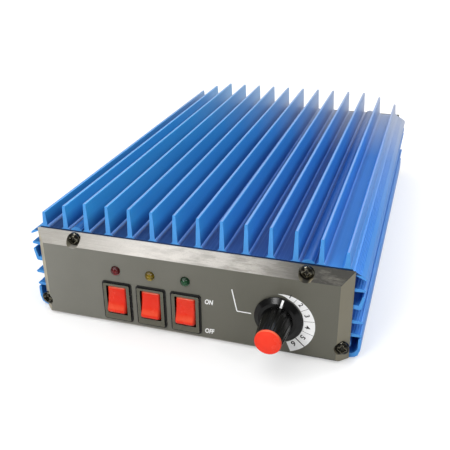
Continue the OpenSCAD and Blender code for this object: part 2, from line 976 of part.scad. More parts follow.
module rear_panel_screws() color("black") {
    for (side = [-1, 1], port = ports)
        translate([side * port[0], rear_y, port[1]])
            rotate([-90, 0, 0])
                pan_screw(panel_screw_r, screw_l, panel_head_r, head_h, head_dome);
}

module socket_shell(side) color("silver") {
    mouth_y = rear_y + flange_t + barrel_l;
    difference() {
        union() {
            along_y(rear_y, rear_y + flange_t)
                translate([side * socket_x, rear_z])
                    round_rect(flange_w, flange_w, 2);
            rod_y(side * socket_x, rear_z, barrel_r, rear_y, mouth_y);
            rod_y(side * socket_x, rear_z, barrel_r - slip, back_y, rear_y);
        }
        rod_y(side * socket_x, rear_z, insulator_r + slip, back_y - over, mouth_y + over);
        for (hole = flange_holes())
            rod_y(side * socket_x + hole[0], rear_z + hole[1], socket_screw_r + socket_hole_room,
                rear_y - over, rear_y + flange_t + over);
        for (i = [0 : notch_count - 1])
            translate([side * socket_x, mouth_y, rear_z])
                rotate([0, i * 360 / notch_count, 0])
                    translate([-0.7, -0.8, insulator_r])
                        cube([1.4, over, barrel_r]);
    }
}

module socket_insulator(side) color("ivory") {
    mouth_y = rear_y + flange_t + barrel_l;
    difference() {
        rod_y(side * socket_x, rear_z, insulator_r, back_y - 2, mouth_y - rim_depth);
        rod_y(side * socket_x, rear_z, contact_r + slip, back_y - 2 - over, mouth_y);
    }
}

module socket_contact(side) color("goldenrod") {
    mouth_y = rear_y + flange_t + barrel_l;
    tip_y = mouth_y - rim_depth;
    difference() {
        union() {
            rod_y(side * socket_x, rear_z, contact_r, back_y - 2, tip_y);
            rod_y(side * socket_x, rear_z, cup_r, back_y - cup_back, back_y - 2);
        }
        rod_y(side * socket_x, rear_z, contact_bore_r, tip_y - contact_bore_l, tip_y + over);
    }
}

module socket_screws() color("silver") {
    for (side = [-1, 1], hole = flange_holes())
        translate([side * socket_x + hole[0], rear_y + flange_t, rear_z + hole[1]])
            rotate([-90, 0, 0])
                pan_screw(socket_screw_r, flange_t + rear_t + 1, socket_head_r, 1, 0.9);
}

// Bare wires from the sockets' contacts up to the board
module socket_leads() color("peru") {
    wire_y = back_y - cup_back - 4;
    for (side = [-1, 1]) {
        rod_y(side * socket_x, rear_z, wire_r, wire_y, back_y - cup_back);
        translate([side * socket_x, wire_y, rear_z])
            cylinder(r = wire_r, h = board_foot - rear_z);
        translate([side * socket_x, wire_y, rear_z])
            sphere(r = wire_r);
    }
}

// ---------------------------------------------------------------- fuses and supply inlet

module fuse_holder(i) color("black") {
    cx = fuse_x + i * fuse_pitch;
    difference() {
        union() {
            turned_back(cx, rear_y, rear_z)
                polygon([
                    [0, 0],
                    [holder_flange_r, 0],
                    [holder_flange_r, holder_flange_t - 0.6],
                    [holder_flange_r - 0.6, holder_flange_t],
                    [0, holder_flange_t]
                ]);
            rod_y(cx, rear_z, holder_r, rear_y - holder_l, rear_y);
        }
        rod_y(cx, rear_z, cap_stem_r + slip, rear_y + holder_flange_t - cap_stem_l,
            rear_y + holder_flange_t + over);
        rod_y(cx, rear_z, holder_bore_r, rear_y - holder_l + 1.6, rear_y + holder_flange_t);
    }
}

module fuse_cap(i) color("black") {
    cx = fuse_x + i * fuse_pitch;
    disc_y = rear_y + holder_flange_t + cap_gap;
    difference() {
        union() {
            turned_back(cx, disc_y, rear_z)
                polygon([
                    [0, 0],
                    [cap_disc_r, 0],
                    [cap_disc_r, cap_disc_t - 0.7],
                    [cap_disc_r - 0.7, cap_disc_t],
                    [0, cap_disc_t]
                ]);
            rod_y(cx, rear_z, cap_stem_r, rear_y + holder_flange_t - cap_stem_l + 0.2, disc_y);
        }
        translate([cx - cap_disc_r, disc_y + cap_disc_t - 1.3, rear_z - cap_slot_w / 2])
            cube([2 * cap_disc_r, over + 1.3, cap_slot_w]);
    }
}

module fuse(i) color("silver") {
    cx = fuse_x + i * fuse_pitch;
    top_y = rear_y + holder_flange_t - cap_stem_l + 0.2;
    rod_y(cx, rear_z, fuse_r, top_y - fuse_end_l, top_y);
    rod_y(cx, rear_z, fuse_glass_r, top_y - fuse_l + fuse_end_l, top_y - fuse_end_l);
    rod_y(cx, rear_z, fuse_r, top_y - fuse_l, top_y - fuse_l + fuse_end_l);
}

module fuse_holder_nuts() color("black") {
    for (i = fuse_list)
        difference() {
            translate([fuse_x + i * fuse_pitch, back_y, rear_z])
                rotate([90, 0, 0])
                    cylinder(r = holder_nut_r, h = holder_nut_t, $fn = 6);
            rod_y(fuse_x + i * fuse_pitch, rear_z, holder_r + slip, back_y - holder_nut_t - over,
                back_y + over);
        }
}

module supply_grommet() color("black") {
    neck_r = inlet_bore_r + grommet_wall - slip;
    lip_r = neck_r + grommet_lip;
    turned_back(inlet_x, back_y, rear_z)
        polygon([
            [inlet_bore_r, -grommet_lip_t],
            [lip_r - 0.8, -grommet_lip_t],
            [lip_r, -grommet_lip_t + 0.8],
            [lip_r, 0],
            [neck_r, 0],
            [neck_r, rear_t],
            [lip_r, rear_t],
            [lip_r, rear_t + grommet_lip_t - 0.8],
            [lip_r - 0.8, rear_t + grommet_lip_t],
            [inlet_bore_r, rear_t + grommet_lip_t]
        ]);
}

// ---------------------------------------------------------------- inside

module main_board() color("darkgreen") {
    difference() {
        translate([-board_half, board_front, board_foot])
            cube([2 * board_half, board_back - board_front, board_t]);
        for (side = [-1, 1], y = post_y)
            translate([side * post_x, y, board_foot - over])
                cylinder(r = post_bore_r, h = board_t + 2 * over);
        for (i = transistor_list)
            translate([-flange_len / 2 - window_room, transistor_mid_y + i * transistor_pitch
                    - ceramic_w / 2 - window_room, board_foot - over])
                cube([flange_len + 2 * window_room, ceramic_w + 2 * window_room, board_t + 2 * over]);
    }
}

module board_standoffs() color("silver") {
    for (side = [-1, 1], y = post_y)
        difference() {
            union() {
                translate([side * post_x, y, board_top])
                    cylinder(r = post_r, h = board_gap, $fn = 6);
                translate([side * post_x, y, ceiling_z - slip])
                    cylinder(r = cover_screw_r, h = 3.5);
            }
            translate([side * post_x, y, board_top - over])
                cylinder(r = post_bore_r, h = board_gap);
        }
}

module board_screws() color("silver") {
    for (side = [-1, 1], y = post_y)
        translate([side * post_x, y, board_foot])
            mirror([0, 0, 1])
                pan_screw(post_bore_r - slip, board_screw_l, board_head_r, 1.2, 0.8);
}

module power_transistors() color("whitesmoke") {
    for (i = transistor_list)
        translate([0, transistor_mid_y + i * transistor_pitch, ceiling_z - flange_hi])
            difference() {
                union() {
                    translate([-flange_len / 2, -flange_wid / 2, 0])
                        cube([flange_len, flange_wid, flange_hi]);
                    translate([-ceramic_l / 2, -ceramic_w / 2, board_foot - ceiling_z + flange_hi - tab_t])
                        cube([ceramic_l, ceramic_w, board_gap + board_t + tab_t - flange_hi + slip]);
                    for (side = [-1, 1])
                        translate([side * (ceramic_l / 2 - tab_w / 2) - tab_w / 2,
                                -ceramic_w / 2 - tab_l, board_foot - ceiling_z + flange_hi - tab_t])
                            cube([tab_w, ceramic_w + 2 * tab_l, tab_t]);
                }
                for (side = [-1, 1])
                    translate([side * tab_screw_gap / 2, 0, -over])
                        cylinder(r = 1.6, h = flange_hi + 2 * over);
            }
}

module transistor_screws() color("silver") {
    for (i = transistor_list, side = [-1, 1])
        translate([side * tab_screw_gap / 2, transistor_mid_y + i * transistor_pitch,
                ceiling_z - flange_hi])
            mirror([0, 0, 1])
                pan_screw(cover_screw_r, flange_hi + 4, 2.6, 1, 0.8);
}

// A twin-bore ferrite core with end plates, hanging from the board
module transformer(x, y, core_r, core_l) {
    core_z = board_foot - core_r - 0.8;
    difference() {
        union() {
            for (side = [-1, 1])
                rod_y(x + side * core_r, core_z, core_r, y - core_l / 2, y + core_l / 2);
            translate([x - core_r, y - core_l / 2, core_z - core_r])
                cube([2 * core_r, core_l, 2 * core_r]);
            for (side = [-1, 1])
                translate([x - 2 * core_r, y + side * (core_l / 2 + 0.4) - 0.4, core_z - core_r])
                    cube([4 * core_r, 0.8, 2 * core_r + 0.8]);
        }
        for (side = [-1, 1])
            rod_y(x + side * core_r, core_z, core_r * 0.45, y - core_l / 2 - over - 0.8,
                y + core_l / 2 + over + 0.8);
    }
}

module input_transformer() color("darkslategray")
    transformer(-38, board_front + 34, 4.5, 15);

module output_transformer() color("darkslategray")
    transformer(-40, transistor_mid_y + transistor_pitch / 2, 7, 30);

// A sealed relay with rounded upper edges, hanging from the board
module relay(x, y, w, l, h) {
    along_y(y - l / 2, y + l / 2)
        translate([x, board_foot - h / 2])
            union() {
                translate([-w / 2, 0])
                    square([w, h / 2]);
                round_rect(w, h, 1);
            }
}

module input_relay() color("royalblue")
    relay(44, board_front + 26, 16, 19, 15.5);

module aerial_relay() color("royalblue")
    relay(44, board_back - 42, 16, 29, 25);

module filter_coils() color("firebrick") {
    ring_r = 8;
    wire_ring_r = 3.6;
    for (i = [0, 1, 2])
        translate([40, transistor_mid_y - 26 + i * 25, board_foot - wire_ring_r])
            rotate_extrude()
                translate([ring_r, 0])
                    circle(r = wire_ring_r, $fn = 32);
}

module supply_capacitors() color("midnightblue") {
    can_r = 6.5;
    can_h = 25;
    for (i = [0, 1])
        translate([-48 + i * 17, board_back - 46, board_foot])
            rotate([180, 0, 0])
                rotate_extrude()
                    polygon([
                        [0, 0],
                        [can_r, 0],
                        [can_r, 2.4],
                        [can_r - 0.5, 3],
                        [can_r, 3.6],
                        [can_r, can_h - 0.8],
                        [can_r - 0.8, can_h],
                        [0, can_h]
                    ]);
}

// ---------------------------------------------------------------- pieces

housing();
bottom_cover();
bottom_cover_screws();
front_panel();
front_panel_screws();
rear_panel();
rear_panel_screws();
switch_body(-1);  // left_switch_body
switch_body(0);  // middle_switch_body
switch_body(1);  // right_switch_body
rocker(-1);  // left_rocker
rocker(0);  // middle_rocker
rocker(1);  // right_rocker
switch_terminals(-1);  // left_switch_terminals
switch_terminals(0);  // middle_switch_terminals
switch_terminals(1);  // right_switch_terminals
lamp(-1, "red");  // red_lamp
lamp(0, "yellow");  // yellow_lamp
lamp(1, "green");  // green_lamp
lamp_leads();
lamp_board();
knob_body();
knob_cap();
knob_pointer();
knob_collet();
control_shaft();
control_bush();
control_nut();
control_body();
control_terminals();
socket_shell(1);  // input_socket_shell
socket_shell(-1);  // output_socket_shell
socket_insulator(1);  // input_socket_insulator
socket_insulator(-1);  // output_socket_insulator
socket_contact(1);  // input_socket_contact
socket_contact(-1);  // output_socket_contact
socket_screws();
socket_leads();
fuse_holder(-1);  // fuse_holder_1
fuse_holder(0);  // fuse_holder_2
fuse_holder(1);  // fuse_holder_3
fuse_cap(-1);  // fuse_cap_1
fuse_cap(0);  // fuse_cap_2
fuse_cap(1);  // fuse_cap_3
fuse(-1);  // fuse_1
fuse(0);  // fuse_2
fuse(1);  // fuse_3
fuse_holder_nuts();
supply_grommet();
main_board();
board_standoffs();
board_screws();
power_transistors();
transistor_screws();
input_transformer();
output_transformer();
input_relay();
aerial_relay();
filter_coils();
supply_capacitors();
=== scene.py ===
"""Studio picture of a flat mobile radio amplifier, dressed over its CAD frame."""

import logging
import math
from collections.abc import Callable, Iterable
from dataclasses import dataclass
from enum import Enum

import bmesh
import bpy
from mathutils import Matrix, Vector


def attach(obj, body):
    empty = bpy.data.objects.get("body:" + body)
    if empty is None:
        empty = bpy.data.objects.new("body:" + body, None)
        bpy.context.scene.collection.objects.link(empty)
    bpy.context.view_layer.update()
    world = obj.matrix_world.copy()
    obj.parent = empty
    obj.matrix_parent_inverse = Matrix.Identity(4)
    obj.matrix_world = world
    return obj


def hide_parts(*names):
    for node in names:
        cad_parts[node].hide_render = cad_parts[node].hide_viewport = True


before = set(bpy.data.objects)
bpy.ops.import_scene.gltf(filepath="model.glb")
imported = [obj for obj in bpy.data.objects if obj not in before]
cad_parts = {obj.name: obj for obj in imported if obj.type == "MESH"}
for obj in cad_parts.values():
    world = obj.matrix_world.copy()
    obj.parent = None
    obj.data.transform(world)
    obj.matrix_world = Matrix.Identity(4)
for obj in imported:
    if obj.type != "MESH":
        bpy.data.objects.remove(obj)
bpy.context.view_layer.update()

LOG = logging.getLogger("amplifier")
MM = 0.001
CHASSIS = "chassis"
SWITCHES = ("left", "middle", "right")
LAMPS = ("red", "yellow", "green")
SOCKETS = {"input": 60.0, "output": -60.0}
MIDDLE_SWITCH_X = -17.2
SWITCH_PITCH = 18.2
INK_THICKNESS = 0.05
MERGE_BELOW = 0.002

Code = str
Colour = tuple[float, float, float]
Point = tuple[float, float, float]
Spot = tuple[float, float]
Range = tuple[float, float]
Shape = bmesh.types.BMesh
Socket = bpy.types.NodeSocket


def linear(code: Code) -> Colour:
    """Turns six hex digits, a colour as it looks on screen, into linear red, green and blue."""
    parts = (int(code[i : i + 2], 16) / 255 for i in (0, 2, 4))
    return tuple(p / 12.92 if p <= 0.04045 else ((p + 0.055) / 1.055) ** 2.4 for p in parts)


class Axis(Enum):
    """An axis of the object, with its place in a vector."""

    X = 0
    Y = 1
    Z = 2


class Nodes:
    """A node tree, with short calls that add and join nodes."""

    def __init__(self, tree: bpy.types.NodeTree) -> None:
        """Takes a node tree on and adds its coordinates."""
        self.tree = tree
        self.place = self.add("ShaderNodeTexCoord")

    def add(self, kind: str, **settings: object) -> bpy.types.Node:
        """Adds a node.

        Args:
            kind: The node's type name.
            settings: Properties to set on it.

        Returns:
            The new node.
        """
        node = self.tree.nodes.new(kind)
        for key, value in settings.items():
            setattr(node, key, value)
        return node

    def feed(self, socket: Socket, value: object) -> None:
        """Joins another socket to this one, or sets its value.

        Args:
            socket: The input to feed.
            value: An output socket, a number, a linear colour or a colour's code.
        """
        if isinstance(value, str):
            value = linear(value)
        if isinstance(value, Socket):
            self.tree.links.new(value, socket)
        elif isinstance(value, tuple) and len(value) == 3 and socket.type == "RGBA":
            socket.default_value = (*value, 1.0)
        else:
            socket.default_value = value

    def math(self, operation: str, *values: object) -> Socket:
        """Adds a Math node.

        Args:
            operation: Its operation.
            values: Its inputs, as sockets or numbers.

        Returns:
            Its output.
        """
        node = self.add("ShaderNodeMath", operation=operation)
        for socket, value in zip(node.inputs, values):
            self.feed(socket, value)
        return node.outputs[0]

    def axis(self, which: Axis, of: str = "Object") -> Socket:
        """One part of the coordinates or of the normal.

        Args:
            which: The axis.
            of: "Object", "Normal" or "Generated".

        Returns:
            The number as a socket.
        """
        split = self.add("ShaderNodeSeparateXYZ")
        self.feed(split.inputs[0], self.place.outputs[of])
        return split.outputs[which.value]

    def span(
        self, value: object, low: float, high: float, to_low: object = 0.0, to_high: object = 1.0
    ) -> Socket:
        """Maps a value from one range to another and holds it there.

        Args:
            value: The socket to map.
            low: The value that becomes to_low.
            high: The value that becomes to_high.
            to_low: The result at low.
            to_high: The result at high.

        Returns:
            The mapped value.
        """
        node = self.add("ShaderNodeMapRange", clamp=True)
        inputs = {"Value": value, "From Min": low, "From Max": high, "To Min": to_low, "To Max": to_high}
        for name, number in inputs.items():
            self.feed(node.inputs[name], number)
        return node.outputs[0]


class NodeSheet(Nodes):
    """A material's node tree, ending in a principled shader."""

    def __init__(self, name: str) -> None:
        """Starts a material with an output and a principled shader.

        Args:
            name: The material's name.
        """
        self.material = bpy.data.materials.new(name)
        self.material.use_nodes = True
        self.material.node_tree.nodes.clear()
        super().__init__(self.material.node_tree)
        output = self.add("ShaderNodeOutputMaterial")
        self.surface = self.add("ShaderNodeBsdfPrincipled")
        self.tree.links.new(self.surface.outputs["BSDF"], output.inputs["Surface"])

    def noise(self, scale: float | Point, detail: float = 4.0, roughness: float = 0.55) -> Socket:
        """Noise over the object's coordinates.

        Args:
            scale: Waves per metre, along every axis or along each.
            detail: How many finer layers it has.
            roughness: How strong the finer layers are.

        Returns:
            The noise, from 0 to 1.
        """
        mapping = self.add("ShaderNodeMapping")
        self.feed(mapping.inputs["Vector"], self.place.outputs["Object"])
        mapping.inputs["Scale"].default_value = scale if isinstance(scale, tuple) else (scale,) * 3
        node = self.add("ShaderNodeTexNoise")
        self.feed(node.inputs["Vector"], mapping.outputs[0])
        for name, value in (("Scale", 1.0), ("Detail", detail), ("Roughness", roughness)):
            node.inputs[name].default_value = value
        return node.outputs["Fac"]

    def lay(self, under: object, over: object, *masks: object, strength: float = 1.0) -> Socket:
        """Lays a colour over another one where every mask lets it through.

        Args:
            under: The colour below, as feed takes it.
            over: The colour laid on it.
            masks: Masks from 0 to 1, which are multiplied.
            strength: How much of the upper colour shows where the masks are 1.

        Returns:
            The mixed colour.
        """
        amount = masks[0]
        for factor in (*masks[1:], strength):
            if factor != 1.0:
                amount = self.math("MULTIPLY", amount, factor)
        node = self.add("ShaderNodeMix", data_type="RGBA")
        for place, value in ((0, amount), (6, under), (7, over)):
            self.feed(node.inputs[place], value)
        return node.outputs[2]

    def along(self, which: Axis, reach: Range, to_low: float = 0.0, to_high: float = 1.0) -> Socket:
        """Maps the place along an axis from a range in millimetres to another range."""
        return self.span(self.axis(which), reach[0] * MM, reach[1] * MM, to_low, to_high)

    def edge(self, radius: float) -> Socket:
        """A mask that is 1 along outer edges.

        Args:
            radius: How far it reaches from the edge, in metres.

        Returns:
            The mask.
        """
        bevel = self.add("ShaderNodeBevel", samples=4)
        bevel.inputs["Radius"].default_value = radius
        geometry = self.add("ShaderNodeNewGeometry")
        dot = self.add("ShaderNodeVectorMath", operation="DOT_PRODUCT")
        self.feed(dot.inputs[0], bevel.outputs[0])
        self.feed(dot.inputs[1], geometry.outputs["Normal"])
        return self.span(dot.outputs["Value"], 0.98, 0.72)

    def band(self, which: Axis, low: float, high: float, soft: float) -> Socket:
        """A mask that is 1 between two places along an axis and fades outside them, in millimetres."""
        rise = self.along(which, (low - soft, low))
        return self.math("MULTIPLY", rise, self.along(which, (high + soft, high)))

    def bump(self, height: object, strength: float, distance: float = 0.00004) -> None:
        """Raises the surface by a height.

        Args:
            height: The height, from 0 to 1.
            strength: How strongly it shows.
            distance: What a height of 1 stands for, in metres.
        """
        node = self.add("ShaderNodeBump")
        node.inputs["Strength"].default_value = strength
        node.inputs["Distance"].default_value = distance
        self.feed(node.inputs["Height"], height)
        self.feed(self.surface.inputs["Normal"], node.outputs[0])

    def set(self, **values: object) -> None:
        """Feeds the shader's inputs by name, with _ for a space in the name."""
        for name, value in values.items():
            self.feed(self.surface.inputs[name.replace("_", " ")], value)


@dataclass(frozen=True)
class Finish:
    """A surface finish that can be put on pieces."""

    name: str

    def build(self, sheet: NodeSheet) -> None:
        """Fills the sheet's nodes; each finish has its own."""
        raise NotImplementedError

    def material(self) -> bpy.types.Material:
        """Builds the finish once and returns its material.

        Returns:
            The material.
        """
        label = f"{self.name}_look"
        made = bpy.data.materials.get(label)
        if made is None:
            sheet = NodeSheet(label)
            self.build(sheet)
            made = sheet.material
        return made


@dataclass(frozen=True)
class Anodised(Finish):
    """Dyed and anodised extrusion: die lines along its length, painted highlights on its tips, roots,
    sides and edges, painted shade between the fins, in the side channels and in a line across its cut
    ends, a painted sheen towards the rear, and sawn ends.

    Its places are in millimetres.
    """

    dye: Code = "46B0EC"
    bright: Code = "429EF2"
    pale: Code = "8FB4F0"
    tip: Code = "9FB4EC"
    deep: Code = "288CD6"
    # Painted shade for the roof between the fins, lighter on the right.
    dusk: Code = "07204E"
    dusk_right: Code = "174A94"
    shade: Code = "123E92"
    flank: Code = "2A6CC4"
    # Painted sheen.
    bleached: Code = "C2C6D0"
    sawn: Code = "4C98E8"
    # Painted shadow line on the cut ends.
    gap: Code = "0A2350"
    roof_z: float = 47.6
    wall_x: float = 79.0
    rightward_x: Range = (-50, 75)
    light_gap_x: Range = (69, 63)
    tip_z: Range = (52.5, 54)
    hollow_z: Range = (45.5, 43)
    upper_z: Range = (36, 44)
    gap_z: Range = (45, 47.62)
    worn_y: Range = (-70, 110)
    faded_y: Range = (25, 128)
    faded_x: Range = (-80, 60)

    def beyond_wall(self, sheet: NodeSheet, start: float, end: float) -> Socket:
        """A mask that goes from 0 to 1 between two distances outwards from either wall, in millimetres."""
        across = sheet.math("ABSOLUTE", sheet.axis(Axis.X))
        return sheet.span(across, (self.wall_x + start) * MM, (self.wall_x + end) * MM)

    def over_roof(self, sheet: NodeSheet, low: float, high: float, soft: float) -> Socket:
        """A soft band between two heights above the roof between the fins, in millimetres."""
        return sheet.band(Axis.Z, self.roof_z + low, self.roof_z + high, soft)

    def dyed(self, sheet: NodeSheet) -> Socket:
        """The dye, brighter to the right, with painted shade between the fins, in the side channels and on
        the roof between the fins.

        Args:
            sheet: The sheet to fill.

        Returns:
            The colour.
        """
        cloud = sheet.noise((26.0, 9.0, 26.0), 3.0)
        rightward = sheet.along(Axis.X, self.rightward_x)
        shaded = sheet.along(Axis.X, self.light_gap_x, 0.25, 1.0)
        body = sheet.lay(self.dye, self.bright, rightward)
        body = sheet.lay(body, self.deep, sheet.span(cloud, 0.3, 0.75), strength=0.4)
        # Painted shade low between the fins, just above the roof, weaker in the wide gap on the right.
        low = self.over_roof(sheet, 0.3, 2.2, 6.5)
        body = sheet.lay(body, self.shade, low, self.beyond_wall(sheet, 1, -3), shaded, strength=0.7)
        # Painted shade in the channels along the outer walls.
        channel = (self.beyond_wall(sheet, 3.6, 0.4), self.beyond_wall(sheet, -0.5, -0.1))
        body = sheet.lay(body, self.shade, *channel, sheet.along(Axis.Z, self.hollow_z), strength=0.7)
        # Painted shade on the roof between the fins, lighter to the right.
        roof = self.over_roof(sheet, -0.3, 0.3, 0.1)
        dusk = sheet.lay(self.dusk, self.dusk_right, rightward)
        return sheet.lay(body, dusk, roof, self.beyond_wall(sheet, -3, -6), shaded, strength=0.85)

    def streaked(self, sheet: NodeSheet, body: Socket, lines: Socket) -> Socket:
        """Pale die lines over the dye, and painted highlights along the fin roots, the fin tips and the
        outer sides.

        Args:
            sheet: The sheet to fill.
            body: The colour so far.
            lines: The die lines' noise.

        Returns:
            The colour.
        """
        body = sheet.lay(body, self.pale, sheet.span(lines, 0.52, 0.8), strength=0.22)
        # Painted highlight in a thin band along the fin roots.
        body = sheet.lay(body, self.pale, self.over_roof(sheet, 0.74, 0.92, 0.06), strength=0.45)
        # Painted highlight along the fin tips, on upward faces near their tops.
        facing_up = sheet.span(sheet.axis(Axis.Z, "Normal"), 0.8, 0.97)
        body = sheet.lay(body, self.tip, facing_up, sheet.along(Axis.Z, self.tip_z), strength=0.6)
        # Painted light on the outer sides beyond the walls.
        return sheet.lay(body, self.pale, self.beyond_wall(sheet, 3, 6), strength=0.15)

    def faded(self, sheet: NodeSheet, body: Socket) -> Socket:
        """A deeper blue near the outer walls, and a painted sheen over the upper flanks and the upper side
        towards the rear.

        Args:
            sheet: The sheet to fill.
            body: The colour so far.

        Returns:
            The colour.
        """
        flank = self.beyond_wall(sheet, -5, -1)
        upper = sheet.along(Axis.Z, self.upper_z, 0.15, 1.0)
        flank_sheen = sheet.along(Axis.Y, self.worn_y)
        body = sheet.lay(body, self.flank, flank, strength=0.35)
        # Painted sheen on the upper flanks, growing towards the rear.
        body = sheet.lay(body, self.bleached, flank, upper, flank_sheen, strength=0.45)
        # Painted sheen on the upper side towards the rear, stronger to the right.
        rightward = sheet.along(Axis.X, self.faded_x, 0.35, 1.0)
        rearward = sheet.along(Axis.Y, self.faded_y)
        return sheet.lay(body, self.bleached, upper, rearward, rightward, strength=0.78)

    def build(self, sheet: NodeSheet) -> None:
        """Colours the metal from its dye outwards and grains it along its length.

        Args:
            sheet: The sheet to fill.
        """
        lines = sheet.noise((2600.0, 6.0, 2600.0), 3.0, 0.6)
        grain = sheet.noise((9000.0, 5000.0, 9000.0), 2.0)
        saw = sheet.noise((90.0, 400.0, 4200.0), 3.0, 0.6)
        cut_end = sheet.span(sheet.math("ABSOLUTE", sheet.axis(Axis.Y, "Normal")), 0.85, 0.97)
        body = self.faded(sheet, self.streaked(sheet, self.dyed(sheet), lines))
        # Painted highlight along the outer edges.
        body = sheet.lay(body, self.pale, sheet.edge(0.2 * MM), strength=0.3)
        end = sheet.lay(self.sawn, self.dye, sheet.span(saw, 0.35, 0.75), strength=0.5)
        # Painted shadow line across the cut ends just under the roof.
        end = sheet.lay(end, self.gap, sheet.band(Axis.Z, *self.gap_z, 0.1))
        body = sheet.lay(body, end, cut_end, strength=0.85)
        rough = sheet.span(lines, 0.25, 0.8, 0.34, 0.5)
        relief = sheet.math("MULTIPLY_ADD", grain, 0.35, lines)
        relief = sheet.math("MULTIPLY_ADD", sheet.math("MULTIPLY", saw, cut_end), 1.2, relief)
        sheet.set(Base_Color=body, Metallic=0.25, Roughness=rough, Specular_IOR_Level=0.5)
        sheet.bump(relief, 0.28, 0.00006)


@dataclass(frozen=True)
class PrintedPanel(Finish):
    """A dark printed face with paler bare bevels, both carrying painted light and shade; its places are in
    millimetres.
    """

    face: Code = "83827A"
    shade: Code = "4E4D40"
    bevel: Code = "D2CDC6"
    brushed: Code = "DAD6CE"
    smudge: Code = "77746C"
    soot: Code = "57564E"
    dark_end: Code = "282722"
    grit: Code = "A39F94"
    left_bevel: Code = "A89E84"
    right_bevel: Code = "85806F"
    rubbed_left: Code = "D9D9CC"
    rubbed_right: Code = "3C3B33"
    shaded_x: Range = (-75, 30)
    dulled_left_x: Range = (-25, -60)
    dulled_right_x: Range = (-5, 55)
    sooty_x: Range = (-30, 70)
    dark_end_x: Range = (32, 60)
    gritty_x: Range = (0, 60)
    rubbed_x: Range = (-20, 60)

    def printed(self, sheet: NodeSheet, fine: Socket) -> Socket:
        """The flat face, with painted shade that darkens it to the right.

        Args:
            sheet: The sheet to fill.
            fine: The fine grain.

        Returns:
            The colour.
        """
        cloud = sheet.noise(34.0, 3.0)
        face = sheet.lay(self.face, self.shade, sheet.span(cloud, 0.3, 0.75), strength=0.2)
        # Painted shade, darker to the right.
        face = sheet.lay(face, self.shade, sheet.along(Axis.X, self.shaded_x), strength=0.62)
        return sheet.lay(face, self.bevel, sheet.span(fine, 0.62, 0.85), strength=0.12)

    def bare(self, sheet: NodeSheet, fine: Socket, brushed: Socket) -> Socket:
        """The bare bevels, with a painted highlight in the middle and painted shade towards both ends,
        blotchy painted dark reflections towards the right, painted shade by the way each bevel faces, fine
        grain and grit.

        Args:
            sheet: The sheet to fill.
            fine: The fine grain.
            brushed: The brushing's noise.

        Returns:
            The colour.
        """
        blot = sheet.noise((90.0, 330.0, 330.0), 5.0, 0.7)
        # Painted shade towards both ends leaves a painted highlight in the middle.
        bare = sheet.lay(self.bevel, self.smudge, sheet.along(Axis.X, self.dulled_left_x), strength=0.6)
        bare = sheet.lay(bare, self.smudge, sheet.along(Axis.X, self.dulled_right_x), strength=0.7)
        # Painted dark reflections in blotches, more of them to the right.
        dark_reflection_share = sheet.along(Axis.X, self.sooty_x, 0.1, 0.8)
        bare = sheet.lay(bare, self.soot, dark_reflection_share, sheet.span(blot, 0.44, 0.62))
        bare = sheet.lay(bare, self.brushed, sheet.span(brushed, 0.48, 0.75), strength=0.35)
        bare = sheet.lay(bare, self.smudge, sheet.span(fine, 0.5, 0.75), strength=0.4)
        # Painted shade at the right end.
        bare = sheet.lay(bare, self.dark_end, sheet.along(Axis.X, self.dark_end_x), strength=0.93)
        gritty = sheet.along(Axis.X, self.gritty_x)
        bare = sheet.lay(bare, self.grit, gritty, sheet.span(blot, 0.5, 0.66), strength=0.32)
        # Painted shade on the left and right bevels, by the way they face.
        sideways = sheet.axis(Axis.X, "Normal")
        bare = sheet.lay(bare, self.left_bevel, sheet.span(sideways, -0.3, -0.6))
        return sheet.lay(bare, self.right_bevel, sheet.span(sideways, 0.3, 0.6))

    def build(self, sheet: NodeSheet) -> None:
        """Tells the flat face from the bevels by the way they look, and grains each.

        Args:
            sheet: The sheet to fill.
        """
        front = sheet.span(sheet.axis(Axis.Y, "Normal"), -0.86, -0.97)
        fine = sheet.noise(5200.0, 2.0)
        brushed = sheet.noise((60.0, 2600.0, 2600.0), 3.0, 0.6)
        colour = sheet.lay(self.bare(sheet, fine, brushed), self.printed(sheet, fine), front)
        # Painted highlight along the edges on the left, painted shade along them on the right.
        rubbed = sheet.lay(self.rubbed_left, self.rubbed_right, sheet.along(Axis.X, self.rubbed_x))
        colour = sheet.lay(colour, rubbed, sheet.edge(0.25 * MM), strength=0.4)
        rough = sheet.math("MULTIPLY_ADD", front, -0.12, 0.42)
        height = sheet.math("MULTIPLY_ADD", brushed, 0.5, fine)
        sheet.set(Base_Color=colour, Roughness=rough, Metallic=0.12, Specular_IOR_Level=0.3)
        sheet.bump(height, 0.16, 0.00005)


@dataclass(frozen=True)
class Coated(Finish):
    """Painted or blackened metal, with a fine grain and worn edges."""

    colour: Code
    rubbed: Code
    wear: float
    roughness: float

    def build(self, sheet: NodeSheet) -> None:
        """Adds cloudiness, an orange-peel grain and worn edges.

        Args:
            sheet: The sheet to fill.
        """
        cloud = sheet.noise(45.0)
        peel = sheet.noise(1800.0, 3.0)
        chips = sheet.noise(700.0, 4.0, 0.7)
        lighter = tuple(min(1.0, c * 1.5 + 0.01) for c in linear(self.colour))
        colour = sheet.lay(self.colour, lighter, sheet.span(cloud, 0.3, 0.8), strength=0.5)
        rubbed = sheet.edge(0.3 * MM)
        colour = sheet.lay(colour, self.rubbed, rubbed, sheet.span(chips, 0.35, 0.6), strength=self.wear)
        rough = sheet.span(cloud, 0.2, 0.8, self.roughness - 0.06, self.roughness + 0.12)
        sheet.set(Base_Color=colour, Roughness=rough, Metallic=0.1)
        sheet.bump(peel, 0.14, 0.00006)


